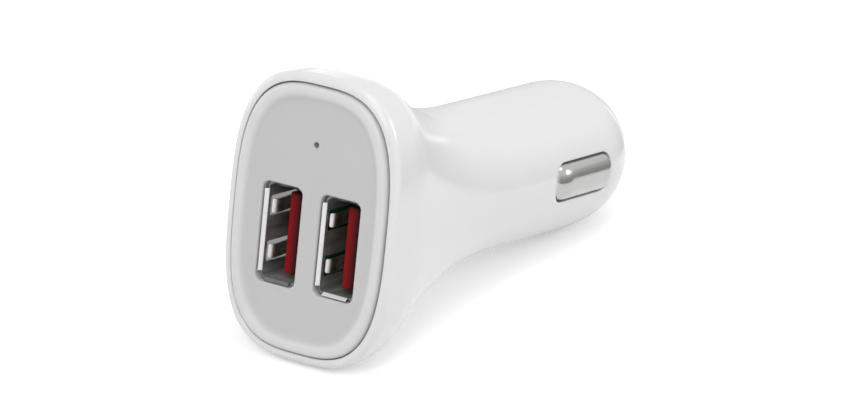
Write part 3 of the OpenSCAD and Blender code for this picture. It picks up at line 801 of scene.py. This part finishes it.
def half_sizes(y, inset):
    """Half width, half height and share of the head's size at y, drawn in by inset."""
    share = flare_share(y)
    draft = HEAD_DRAFT * (1 - min(y / HEAD_DEPTH, 1))
    a = FLARE_R + (BACK_A - FLARE_R) * share + draft - inset
    b = FLARE_R + (BACK_B - FLARE_R) * share + draft - inset
    return a, b, share


def skin_radius(y, inset=0.0):
    """Radius round the axis at y as a function of the angle: head, flare or barrel, drawn in by inset."""
    a, b, share = half_sizes(y, inset)
    n = 2 + (HEAD_N - 2) * share ** SQUARENESS_POWER
    straight = BARREL_R - inset

    def radius(t):
        r = superellipse(a, b, n, t)
        return (r + straight + math.sqrt((r - straight) ** 2 + BLEND ** 2)) / 2

    return radius


def outer_rings():
    rings = []
    for t in quarter(8):
        y = LIP_DEPTH * (1 - math.cos(t)) - LIP_PROUD
        rings.append(ring_at(y, skin_radius(y, LIP_ROUND * (1 - math.sin(t))), ROUND))
    side_end = HEAD_DEPTH - SHOULDER_SOFT - SHOULDER_LEAD
    for k in range(1, 52):
        y = side_end + (FLARE_END - side_end) * (k / 51) ** 1.4
        rings.append(ring_at(y, skin_radius(y), ROUND))
    for k in range(1, 13):
        rings.append(ring_at(FLARE_END + (NOSE_START - FLARE_END) * k / 12, lambda t: BARREL_R, ROUND))
    for t in quarter(16)[1:]:
        r = BARREL_R - NOSE_DRAW * (1 - math.cos(t))
        rings.append(ring_at(NOSE_START + NOSE_ROUND * math.sin(t), lambda t, r=r: r, ROUND))
    return rings


def inner_rings():
    """From the tip's hole back through the bore and the cavity, to the plate's pocket and the lip."""
    rings = []
    hole_edge, lip_edge = 0.15, 0.12
    turned = [(TIP_HOLE_R + hole_edge, NOSE_END), (TIP_HOLE_R, NOSE_END - hole_edge),
              (TIP_HOLE_R, NOSE_INNER), (SEAT_R, NOSE_INNER),
              (BARREL_R - WALL, NOSE_START + BORE_PAST), (BARREL_R - WALL, FLARE_END)]
    for r, y in turned:
        rings.append(ring_at(y, lambda t, r=r: r, ROUND))
    for k in range(19, -1, -1):
        y = LEDGE_Y + (FLARE_END - LEDGE_Y) * (k / 20) ** 1.5
        rings.append(ring_at(y, skin_radius(y, WALL), ROUND))
    for inset, y in ((0, LEDGE_Y), (0, lip_edge - LIP_PROUD), (-lip_edge, -LIP_PROUD)):
        rings.append(ring_at(y, lambda t, i=inset: superellipse(POCKET_A - i, POCKET_B - i, HEAD_N, t),
                             ROUND))
    return rings


housing_rings = outer_rings() + inner_rings()
housing = loft("housing_shell", housing_rings + housing_rings[:1], capped=False)
print("housing skin:", len(housing_rings), "rings of", ROUND)

# %% [markdown]
# ## Slots for the side contacts
# Each slot is a rounded window in the barrel. A cutter that follows the barrel's curve gives the
# window's edge the small radius that a mould leaves, which a straight cutter can't do on a cylinder.

# %% Cut the slots
SLOT_START, SLOT_L, SLOT_W, SLOT_ROUND = 45.4, 14.4, 5.7, 2.1
SLOT_MID = SLOT_START + SLOT_L / 2
SLOT_EDGE = 0.14
SLOT_SKIM = 0.013


def slot_ring(grow, depth):
    """Outline of the slot, grown, at a depth below the barrel's surface, but never quite on it."""
    outline = rounded_outline(SLOT_L + 2 * grow, SLOT_W + 2 * grow, SLOT_ROUND + grow, 8, 6)
    return [(math.sqrt(BARREL_R ** 2 - z ** 2) - depth + SLOT_SKIM, SLOT_MID + y, z) for y, z in outline]


def slot_cutter(side):
    rings = [slot_ring(SLOT_EDGE, -1.0)]
    rings += [slot_ring(SLOT_EDGE * (1 - math.sin(t)), SLOT_EDGE * (1 - math.cos(t))) for t in quarter(4)]
    rings.append([(BARREL_R / 2, y, z) for _, y, z in slot_ring(0, 0)])
    return loft("slot_cutter", [[(side * x, y, z) for x, y, z in r] for r in rings])


cut(housing, slot_cutter(1), slot_cutter(-1))

# %% [markdown]
# ## Inside the housing
# Four rails hold the board's edges, and two grooves take the beads of the plate's hooks. The inner
# skin has a faint painted glow, which stands in for light coming through the thin wall, seen as
# pale light behind the left socket's fingers.

# %% Rails and grooves
FIT_GAP = 0.05
BOARD_T, BOARD_H = 1.6, 15.6
RAIL_T, RAIL_L, RAIL_LAP, RAIL_TO_SLOT = 1.2, 13.8, 1.1, 1.6
RAIL_END = SLOT_START - RAIL_TO_SLOT
HOOK_W, HOOK_L, HOOK_T, HOOK_BEAD, HOOK_CATCH, HOOK_GROOVE = 8, 4, 1.2, 0.45, 0.9, 1.5
HOOK_BACK = LEDGE_Y + HOOK_L
HOOK_Y = HOOK_BACK - HOOK_CATCH


half_w, half_h, _ = half_sizes(HOOK_BACK, WALL)
HOOK_OUT = half_h * (1 - (HOOK_W / 2 / half_w) ** HEAD_N) ** (1 / HEAD_N) - 2 * FIT_GAP


def board_rail(sx, sz):
    """A rail beside the board, rooted in the wall above or below it."""
    x = sx * (BOARD_T / 2 + FIT_GAP + RAIL_T / 2)
    z = sz * (BOARD_H / 2 - RAIL_LAP + WALL / 2)
    return block("rail", (x - RAIL_T / 2, RAIL_END - RAIL_L, z - RAIL_LAP),
                 (x + RAIL_T / 2, RAIL_END, z + RAIL_LAP), 0.1, 2)


def hook_groove(sz):
    half_x, half_z = HOOK_W / 2 + 2 * FIT_GAP, HOOK_BEAD / 2 + 2 * FIT_GAP
    z = sz * (HOOK_OUT + HOOK_BEAD / 2)
    return block("groove", (-half_x, HOOK_Y - HOOK_GROOVE / 2, z - half_z),
                 (half_x, HOOK_Y + HOOK_GROOVE / 2, z + half_z), 0.05, 2)


add_on(housing, *[board_rail(sx, sz) for sx in (-1, 1) for sz in (-1, 1)])
cut(housing, hook_groove(1), hook_groove(-1))
print("hooks reach", round(HOOK_OUT, 2), "mm from the axis")


def on_inner_skin(place, normal):
    """Faces that look into the cavity. The slots' own edges belong to the outer skin."""
    at_slot = abs(place.y - SLOT_MID) < SLOT_L / 2 + 0.5 and abs(place.z) < SLOT_W / 2 + 0.5
    inward = normal.x * place.x + normal.z * place.z < 0
    return LEDGE_Y < place.y < NOSE_INNER and inward and not at_slot


housing.data.update()
# The faces in the cavity get the glowing finish: a painted glow.
paint_faces(housing, MATERIALS["painted_glow_skin"], on_inner_skin)
finish(housing, "housing", MATERIALS["white_plastic"], sharp=40)

# %% [markdown]
# ## Face plate
# The plate is a satin panel that snaps into the head. Its flat middle lies inside a raised rim with a
# soft slope, and both openings have softly rounded edges. It is lofted from its back to its front.

# %% Face plate
PLATE_GAP, RIM_H, RIM_W, RIM_ROUND, RIM_CREST = 0.12, 0.55, 2.4, 0.8, 0.95
PORT_DROP = 2.85
SHELL_W, SHELL_H, SHELL_T, SHELL_ROUND = 5.7, 13.1, 0.3, 0.75
OPENING_GAP, OPENING_SOFT = 0.25, 0.3
PLATE_PLACE = (-0.09, 0, -0.06)
PINHOLE_R, PINHOLE_Z = 0.4, 10.2
PLATE_A, PLATE_B = POCKET_A - PLATE_GAP, POCKET_B - PLATE_GAP


def plate_ring(y, inset):
    return ring_at(y, lambda t: superellipse(PLATE_A - inset, PLATE_B - inset, HEAD_N, t), ROUND)


def plate_rings():
    rings = [plate_ring(LEDGE_Y, 0)]
    for t in quarter(8):
        rings.append(plate_ring(RIM_ROUND * (1 - math.sin(t)) - RIM_H, RIM_ROUND * (1 - math.cos(t))))
    for k in range(17):
        f = k / 16
        y = -RIM_H * (1 + math.cos(math.pi * f)) / 2
        rings.append(plate_ring(y, RIM_CREST + (RIM_W - RIM_CREST) * f))
    return rings


def port_ring(side, y, grow):
    """Outline of a socket's shell at y, grown. side is 1 for the right socket."""
    outline = rounded_outline(SHELL_W + 2 * grow, SHELL_H + 2 * grow, SHELL_ROUND + grow)
    return [(side * PORT_PITCH / 2 + x, y, z - PORT_DROP) for x, z in outline]


def opening_cutter(side):
    rings = [port_ring(side, -2, OPENING_GAP + OPENING_SOFT)]
    for t in quarter(6):
        rings.append(port_ring(side, OPENING_SOFT * (1 - math.cos(t)),
                               OPENING_GAP + OPENING_SOFT * (1 - math.sin(t))))
    return loft("opening_cutter", rings + [port_ring(side, LEDGE_Y + 1, OPENING_GAP)])


def pinhole_cutter():
    edge = 0.08
    profile = [(-2, PINHOLE_R + edge), (0, PINHOLE_R + edge), (edge, PINHOLE_R), (LEDGE_Y + 1, PINHOLE_R)]
    return loft("pinhole_cutter", [
        [(x, y, z + PINHOLE_Z) for x, y, z in ring_at(y, lambda t, r=r: r, 32)] for y, r in profile])


def snap_hook(side):
    """A bar behind the plate whose bead snaps into the housing's groove. side is 1 for the upper one."""
    profile = [(LEDGE_Y - 0.1, HOOK_OUT - HOOK_T), (HOOK_BACK, HOOK_OUT - HOOK_T),
               (HOOK_BACK, HOOK_OUT - HOOK_BEAD), (HOOK_Y, HOOK_OUT + HOOK_BEAD),
               (HOOK_Y - HOOK_BEAD, HOOK_OUT), (LEDGE_Y - 0.1, HOOK_OUT)]
    hook = loft("snap_hook", [[(x, y, side * z) for y, z in profile] for x in (-HOOK_W / 2, HOOK_W / 2)])
    apply_modifier(hook, "BEVEL", width=0.1 * MM, segments=2)
    return hook


plate = loft("face_plate_panel", plate_rings())
add_on(plate, snap_hook(1), snap_hook(-1))
cut(plate, opening_cutter(-1), opening_cutter(1), pinhole_cutter())
plate.location = Vector(PLATE_PLACE) * MM
finish(plate, "face_plate", MATERIALS["grey_plastic"], sharp=40)

# %% [markdown]
# ## USB shells
# A shell is one folded sheet: a tube whose front edges flare out as four lips, with notched corners
# between them so that they can bend. Two spring fingers are cut out of each broad wall and bent in.
# It is lofted round and back through itself, as a tube with thickness, then notched and pierced.

# %% Tube of a shell
SHELL_SET, SHELL_L = 0.35, 13.2
LIP_OUT, LIP_L, LIP_EDGE = 0.2, 0.5, 0.1
FINGER_Z, FINGER_W, FINGER_IN, FINGER_SLIT = 3.1, 1.9, 0.6, 0.45
WINDOW_START, WINDOW_END = 1.4, 8.95
CREST_END = 3.8
TONGUE_GAP, TONGUE_T, TONGUE_SET, TONGUE_H = 0.7, 1.84, 1.9, 11.1
SHELL_MID = (SHELL_W - SHELL_T) / 2
SHELL_END = SHELL_SET + SHELL_L
WALL_MID = PORT_PITCH / 2 - 0.8
NOTCH, NOTCH_DEPTH = 0.95, 0.5


def at_port(side, points):
    return [(side * PORT_PITCH / 2 + x, y, z - PORT_DROP) for x, y, z in points]


def shell_ring(y, grow):
    outline = rounded_outline(SHELL_W + 2 * grow, SHELL_H + 2 * grow, SHELL_ROUND + grow, 6, 4)
    return [(x, y, z) for x, z in outline]


def shell_tube():
    """Sheet tube about the socket's own middle, with a flared lip in front."""
    lip_end = SHELL_SET + LIP_L
    outside = [(SHELL_SET + 0.04, LIP_OUT), (lip_end, 0), (SHELL_END, 0)]
    inside = [(SHELL_END, -SHELL_T), (lip_end, -SHELL_T), (SHELL_SET + 0.02, LIP_OUT - LIP_EDGE)]
    profile = rounded_path(outside, 0.12) + rounded_path(inside, 0.12)
    profile.append(Vector((SHELL_SET, LIP_OUT - LIP_EDGE / 2)))
    rings = [shell_ring(y, grow) for y, grow in profile]
    return loft("usb_shell_tube", rings + rings[:1], capped=False)


def corner_notches():
    x, z = SHELL_W / 2, SHELL_H / 2
    y = SHELL_SET + NOTCH_DEPTH
    return [block("notch", (sx * x - NOTCH, -1, sz * z - NOTCH), (sx * x + NOTCH, y, sz * z + NOTCH))
            for sx in (-1, 1) for sz in (-1, 1)]


def finger_windows():
    """Cutters for the windows round the fingers, through both broad walls at once."""
    outline = rounded_outline(WINDOW_END - WINDOW_START, FINGER_W + 2 * FINGER_SLIT, 0.2, 3, 2)
    mid = (WINDOW_START + WINDOW_END) / 2
    cutters = []
    for sz in (-1, 1):
        rings = [[(x, mid + y, sz * FINGER_Z + z) for y, z in outline] for x in (-4, 4)]
        cutters.append(loft("finger_window", rings))
    return cutters


def finger(side, sz, reach):
    """A spring finger: a steep ramp behind its tip, a level crest and a long slope to its root."""
    crest = side * (SHELL_MID - reach)
    points = [(side * SHELL_MID, 9.1), (side * SHELL_MID, 8.2), (crest, 3.4), (crest, 2.3),
              (side * (SHELL_MID - 0.15 * reach), 1.75)]
    return bent_strip("finger", points, SHELL_T - 0.01, FINGER_W, sz * FINGER_Z, 0.35, 0.25)


shell = shell_tube()
cut(shell, *corner_notches(), *finger_windows())
fingers = [finger(-1, sz, FINGER_IN) for sz in (-1, 1)] + [finger(1, sz, TONGUE_GAP / 2) for sz in (-1, 1)]
# The fingers' ramp and crest get the lighter polished steel and the rest the streaked steel, both lighter
# than the shell: painted light.
for piece in fingers:
    piece.data.update()
    paint_faces(piece, MATERIALS["lit_streaked_steel"], lambda place, normal: place.y > CREST_END)
    paint_faces(piece, MATERIALS["polished_lit_steel"], lambda place, normal: place.y <= CREST_END)


def on_lip(place, normal):
    """Inner slopes of the lips, without their corners."""
    at_corner = abs(place.x) > SHELL_W / 2 - NOTCH and abs(place.z) > SHELL_H / 2 - NOTCH
    return place.y < SHELL_SET + LIP_L + 0.1 and normal.y < -0.25 and not at_corner


def on_wall(place, normal):
    """Inside of the tube behind its lips, which gets the lighter, streaked steel as painted light."""
    return place.y > SHELL_SET + NOTCH_DEPTH + 0.05 and normal.x * place.x + normal.z * place.z < 0


shell.data.update()
# The inside walls get the lighter streaked steel: painted light in the socket.
paint_faces(shell, MATERIALS["lit_streaked_steel"], on_wall)
# The left lips get the lighter polished steel and the lower lips a slot of their own, while the top and
# right lips keep the darker steel. All four are the same sheet, so the difference is painted light and
# shade.
paint_faces(shell, MATERIALS["polished_lit_steel"], lambda place, normal:
            on_lip(place, normal) and normal.x > 0.2)
paint_faces(shell, MATERIALS["lower_lip_steel"], lambda place, normal:
            on_lip(place, normal) and normal.z > 0.2)
shell = joined(shell, *fingers)
print("shell:", len(shell.data.polygons), "faces,", len(shell.data.materials), "finishes")


# %% Both shells, with their legs
def shell_legs(side):
    """Two legs that reach from a shell's narrow walls to the board."""
    wall = SHELL_W / 2 - 0.5
    ends = sorted((-side * wall, -side * WALL_MID))
    z = (SHELL_H - SHELL_T) / 2
    return [block("leg", (ends[0], 10, sz * z - 0.14), (ends[1], 12, sz * z + 0.14), 0.08, 2)
            for sz in (-1, 1)]


# The two lower lips are the same sheet: the left socket's gets the darker steel as painted shade, the right
# socket's the lighter steel as painted light.
LOWER_LIP_LIGHT_AND_SHADE = {"left": MATERIALS["shell_steel"], "right": MATERIALS["polished_lit_steel"]}
for side, word in ((-1, "left"), (1, "right")):
    whole = joined(copy_of(shell, "usb_shell_" + word + "_sheet"), *shell_legs(side))
    whole.location = Vector((side * PORT_PITCH / 2, 0, -PORT_DROP)) * MM
    finish(whole, "usb_shell_" + word, MATERIALS["shell_steel"])
    lip_slot = whole.data.materials.find("lower_lip_steel")
    whole.data.materials[lip_slot] = LOWER_LIP_LIGHT_AND_SHADE[word]
bpy.data.objects.remove(shell)

# %% [markdown]
# ## Red insulators
# The tongue, the block that closes the shell and the foot on the board are one moulding, coloured red
# on the real plug. Four channels hold the contacts. The rounded front edge of the tongue is what the
# photo shows, so its edges are bevelled in two steps: first the long ones, then the front rim.

# %% Tongue with its channels
TONGUE_X = SHELL_W / 2 - SHELL_T - TONGUE_GAP - TONGUE_T
LONG_ROUND, CORNER_ROUND = 0.3, 0.6
BLOCK_START, FOOT_L = SHELL_END - 3, 1.8
CONTACT_T, CONTACT_W, CONTACT_Z = 0.25, 1, (-3.5, -1, 1, 3.5)
CONTACT_X = TONGUE_X + CONTACT_T / 2


def tongue_block():
    piece = block("tongue", (TONGUE_X, TONGUE_SET, -TONGUE_H / 2),
                  (TONGUE_X + TONGUE_T, BLOCK_START + 0.05, TONGUE_H / 2))
    enter_edit("EDGE")
    def on_side(p):
        return abs(abs(p.z / MM) - TONGUE_H / 2) < 0.01

    pick("EDGE", lambda p: p.x / MM < TONGUE_X + 0.01 and on_side(p))
    bpy.ops.mesh.bevel(offset=LONG_ROUND * MM, segments=5, affect="EDGES")
    pick("EDGE", lambda p: p.x / MM > TONGUE_X + TONGUE_T - 0.01 and on_side(p))
    bpy.ops.mesh.bevel(offset=CORNER_ROUND * MM, segments=7, affect="EDGES")
    pick("EDGE", lambda p: abs(p.y / MM - TONGUE_SET) < 0.01)
    bpy.ops.mesh.bevel(offset=LONG_ROUND * MM, segments=5, affect="EDGES")
    bpy.ops.object.mode_set(mode="OBJECT")
    return piece


def channel_cutters():
    cutters = []
    for z in CONTACT_Z:
        half = CONTACT_W / 2 + 0.05
        cutters.append(block("channel", (TONGUE_X - 1, TONGUE_SET + 0.35, z - half),
                             (TONGUE_X + 0.4, BLOCK_START, z + half)))
        cutters.append(block("contact_slot", (CONTACT_X - 0.175, BLOCK_START - 1, z - half),
                             (CONTACT_X + 0.175, SHELL_END + FOOT_L + 1, z + half)))
    return cutters


def insulator(side):
    """Tongue, rear block and foot in one, about the socket's middle."""
    piece = tongue_block()
    rear = [(x, y, z) for y in (BLOCK_START, SHELL_END + 0.1)
            for x, z in rounded_outline(SHELL_W - 0.7, SHELL_H - 0.7, SHELL_ROUND - 0.3, 4, 2)]
    half = len(rear) // 2
    ends = sorted((-side * WALL_MID, side * SHELL_W / 2))
    foot = block("foot", (ends[0], SHELL_END + 0.05, -SHELL_H / 2),
                 (ends[1], SHELL_END + FOOT_L, SHELL_H / 2), 0.15)
    add_on(piece, loft("rear_block", [rear[:half], rear[half:]]), foot)
    cut(piece, *channel_cutters())
    return piece


for side, word in ((-1, "left"), (1, "right")):
    whole = insulator(side)
    whole.name = whole.data.name = "usb_tongue_" + word
    whole.location = Vector((side * PORT_PITCH / 2, 0, -PORT_DROP)) * MM
    finish(whole, "usb_insulator_" + word, MATERIALS["red_plastic"], sharp=30)

# %% [markdown]
# ## USB contacts
# Each socket has four gilded strips. Each bows out of its channel, runs through the block and turns
# down to the board. One strip per socket is bent, and the other three are copies of it.


# %% Contact strips
def contact_path(side):
    foot_x = -side * (WALL_MID - CONTACT_T / 2)
    bend_y = SHELL_END + FOOT_L + 0.6
    return [(CONTACT_X + 0.1, TONGUE_SET + 0.7), (CONTACT_X, TONGUE_SET + 1.3),
            (CONTACT_X - 0.45, TONGUE_SET + 3.2), (CONTACT_X, TONGUE_SET + 6),
            (CONTACT_X, bend_y), (foot_x, bend_y), (foot_x, bend_y + 1.5)]


for side, word in ((-1, "left"), (1, "right")):
    first = bent_strip("contact", contact_path(side)[::-1], CONTACT_T, CONTACT_W, 0, 0.6, 0.3)
    for i, z in enumerate(CONTACT_Z):
        strip = copy_of(first, f"contact_strip_{word}_{i + 1}", (side * PORT_PITCH / 2, 0, z - PORT_DROP))
        finish(strip, f"usb_contact_{word}_{i + 1}", MATERIALS["contact_gold"])
    bpy.data.objects.remove(first)

# %% [markdown]
# ## Side contacts
# Each is drawn from sheet metal: a half-round shoe with domed ends, and a flange behind the slot's
# edge that keeps it in. A cylinder with bevelled rims gives the dome. It is cut through its axis,
# and the open edge is drawn down to the flange. A thickness then turns the skin into sheet.

# %% Shoe
SLOT_GAP, SIDE_OUT, SIDE_T, FLANGE = 0.1, 0.9, 0.4, 1.0
SHOE_R = SLOT_W / 2 - SLOT_GAP
SHOE_X = BARREL_R + SIDE_OUT - SHOE_R
SHOE_L = SLOT_L - 2 * SLOT_GAP
SHOE_ROUND = SLOT_ROUND - SLOT_GAP
SHOE_BASE = 7.017
DOME_L, SHOE_N, SHOE_BEND = 2.9, 2.6, 0.25


def dome_height(from_end, run):
    """Height over the shoe's middle plane, at a distance from its end, of a dome that runs so far."""
    flat = SHOE_R - SHOE_ROUND
    return flat + SHOE_ROUND * math.sqrt(max(1 - (1 - min(from_end / run, 1)) ** 2, 0))


def fuller(height, from_end):
    """Turns a half-round section's height into that of one with fuller shoulders, past the ramp."""
    n = 2 + (SHOE_N - 2) * min(from_end / DOME_L, 1)
    share = max(1 - (height / SHOE_R) ** 2, 0) ** (n / 2)
    return SHOE_R * (1 - share) ** (1 / n)


def draw_dome():
    """Makes the front dome a longer ramp, where the plug slides in, and fills the slot to its edge."""
    mesh = bmesh.from_edit_mesh(bpy.context.object.data)
    for v in mesh.verts:
        from_end = max(v.co.y / MM - SLOT_MID + SHOE_L / 2, 0)
        stretch = dome_height(from_end, DOME_L) / dome_height(from_end, SHOE_ROUND)
        height = max(v.co.x / MM - SHOE_X, 0) * stretch
        v.co.x = (SHOE_X + fuller(height, from_end)) * MM
    bmesh.update_edit_mesh(bpy.context.object.data)


def draw_flange():
    """Extrudes the open edge down to the flange, round a bend in small steps, and outward."""
    top = SHOE_BASE + SIDE_T
    steps = [(top + SHOE_BEND * (1 - math.sin(t)), SHOE_BEND * (1 - math.cos(t))) for t in quarter(4)]
    level, spread = SHOE_X, 0.0
    for new_level, new_spread in steps + [(top, FLANGE)]:
        bpy.ops.mesh.extrude_edges_move(TRANSFORM_OT_translate={"value": ((new_level - level) * MM, 0, 0)})
        wide_y = (SHOE_L / 2 + new_spread) / (SHOE_L / 2 + spread)
        wide_z = (SHOE_R + new_spread) / (SHOE_R + spread)
        bpy.ops.transform.resize(value=(1, wide_y, wide_z), center_override=(0, SLOT_MID * MM, 0))
        level, spread = new_level, new_spread


def face_outward(piece):
    """An open skin can come out of a recalculation inside out, so its topmost face decides."""
    bpy.ops.mesh.normals_make_consistent(inside=False)
    mesh = bmesh.from_edit_mesh(piece.data)
    if max(mesh.faces, key=lambda f: middle(f).x).normal.x < 0:
        bpy.ops.mesh.flip_normals()
        print(piece.name, "turned outward")


def bisect_at(place, normal, **settings):
    """A cut through the whole mesh. The default threshold of 0.1 mm would take in corners near it."""
    bpy.ops.mesh.select_all(action="SELECT")
    bpy.ops.mesh.bisect(plane_co=Vector(place) * MM, plane_no=normal, threshold=MM / 10000, **settings)


def shoe():
    start_clean()
    bpy.ops.mesh.primitive_cylinder_add(vertices=96, radius=SHOE_R * MM, depth=SHOE_L * MM,
                                        location=(SHOE_X * MM, SLOT_MID * MM, 0),
                                        rotation=(math.pi / 2, 0, 0))
    piece = bpy.context.object
    piece.name = piece.data.name = "shoe"
    bpy.ops.object.transform_apply(location=True, rotation=True, scale=True)
    enter_edit("EDGE")
    pick("EDGE", lambda p: abs(abs(p.y / MM - SLOT_MID) - SHOE_L / 2) < 0.01)
    bpy.ops.mesh.bevel(offset=SHOE_ROUND * MM, segments=16, affect="EDGES")
    for from_end in (2.1, 2.2, 2.35, 2.5, 2.7, DOME_L):
        bisect_at((0, SLOT_MID - SHOE_L / 2 + from_end, 0), (0, 1, 0))
    bisect_at((SHOE_X, 0, 0), (1, 0, 0), clear_inner=True)
    draw_dome()
    draw_flange()
    bpy.ops.mesh.select_all(action="SELECT")
    bpy.ops.mesh.remove_doubles(threshold=0.01 * MM)
    face_outward(piece)
    bpy.ops.object.mode_set(mode="OBJECT")
    apply_modifier(piece, "SOLIDIFY", thickness=SIDE_T * MM, offset=-1)
    outermost = max(v.co.x for v in piece.data.vertices) / MM
    print("shoe stands out by", round(outermost - BARREL_R, 2), "mm")
    assert abs(outermost - BARREL_R - SIDE_OUT) < 0.02
    return piece


right_shoe = shoe()
left_shoe = copy_of(right_shoe, "side_shoe_left", mirrored=True)
right_shoe.name = right_shoe.data.name = "side_shoe_right"
finish(right_shoe, "side_contact_right", MATERIALS["nickel_plate"])
finish(left_shoe, "side_contact_left", MATERIALS["nickel_plate"])

# %% [markdown]
# ## Tip contact and its spring
# The tip is turned on a lathe, so it is a profile taken round the axis, from the spigot in the spring
# to the domed front. The coil spring is a small ring drawn along its helix, closer at both ends.


# %% Tip
def turned(name, profile, count=96):
    """A solid of revolution about the plug's axis, from (y, radius) points."""
    return loft(name, [ring_at(y, lambda t, r=r: r, count) for y, r in profile])


TIP_R, TIP_OUT, TIP_DOME, TIP_FLANGE_R, TIP_FLANGE_T = 2.8, 4.5, 2.4, 4.0, 1.0
TIP_FRONT = NOSE_END + TIP_OUT
TIP_BACK = NOSE_INNER - 0.05 - TIP_FLANGE_T
SPIGOT_R, SPIGOT_L = 1.5, 5.6


def tip_profile():
    stem = [(TIP_BACK - SPIGOT_L, 0.02), (TIP_BACK - SPIGOT_L, SPIGOT_R - 0.3),
            (TIP_BACK - SPIGOT_L + 0.3, SPIGOT_R), (TIP_BACK, SPIGOT_R), (TIP_BACK, TIP_FLANGE_R),
            (NOSE_INNER - 0.05, TIP_FLANGE_R), (NOSE_INNER - 0.05, TIP_R), (TIP_FRONT - TIP_DOME, TIP_R)]
    dome = [(TIP_FRONT - TIP_DOME * (1 - math.sin(t)), max(TIP_R * math.cos(t), 0.02)) for t in quarter(20)]
    return rounded_path(stem, 0.1, 3)[:-1] + [Vector(p) for p in dome]


tip = turned("tip_pin", tip_profile())
finish(tip, "tip_contact", MATERIALS["nickel_plate"])

# %% Tip spring
SPRING_TURNS, SPRING_WIRE, SPRING_R, SPRING_EASE = 7, 0.5, 2.0, 0.45
SPRING_L = 9.0
TERMINAL_Y = TIP_BACK - SPRING_L


def spring_rings(per_turn=36, sides=14):
    total = SPRING_TURNS * per_turn
    start = TERMINAL_Y + SPRING_WIRE / 2 + 0.05
    run = SPRING_L - SPRING_WIRE - 0.1
    rings = []
    for i in range(total + 1):
        f = i / total
        turn = 2 * math.pi * i / per_turn
        y = start + run * (f - SPRING_EASE * math.sin(2 * math.pi * f) / (2 * math.pi))
        ring = []
        for j in range(sides):
            t = 2 * math.pi * j / sides
            r = SPRING_R + SPRING_WIRE / 2 * math.cos(t)
            ring.append((r * math.cos(turn), y + SPRING_WIRE / 2 * math.sin(t), r * math.sin(turn)))
        rings.append(ring)
    return rings


coil = loft("tip_coil", spring_rings())
finish(coil, "tip_spring", MATERIALS["spring_steel"])
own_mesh(coil)

# %% [markdown]
# ## Leaf springs
# A leaf spring pushes each side contact out. It is a bent strip between the board and the shoe's
# flange. The joint moves the shoe but not the leaf.


# %% Leaves
LEAF_FOOT, LEAF_T, LEAF_W, LEAF_BEND = 0.95, 0.3, 7.0, 1.2


def leaf(name):
    top, slot_end = SHOE_BASE - 0.2, SLOT_START + SLOT_L
    points = [(LEAF_FOOT, SLOT_START + 1.4), (LEAF_FOOT, SLOT_START + 4.2),
              (top, slot_end - 3.0), (top, slot_end - 1.4)]
    return bent_strip(name, points, LEAF_T, LEAF_W, 0, LEAF_BEND)


right_leaf = leaf("side_leaf_right")
left_leaf = copy_of(right_leaf, "side_leaf_left", mirrored=True)
for piece, word, side in ((right_leaf, "right", 1), (left_leaf, "left", -1)):
    finish(piece, "side_spring_" + word, MATERIALS["spring_steel"])
    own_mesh(piece)

# %% [markdown]
# ## Materials of the solids that stay
# The solids that already have the real shape keep it, and get the finish of their own slot.

# %% Dress the solids
for name, node in NODES.items():
    node.data.materials.clear()
    node.data.materials.append(MATERIALS[SLOT_OF[name]])
print("dressed", len(NODES), "solids")
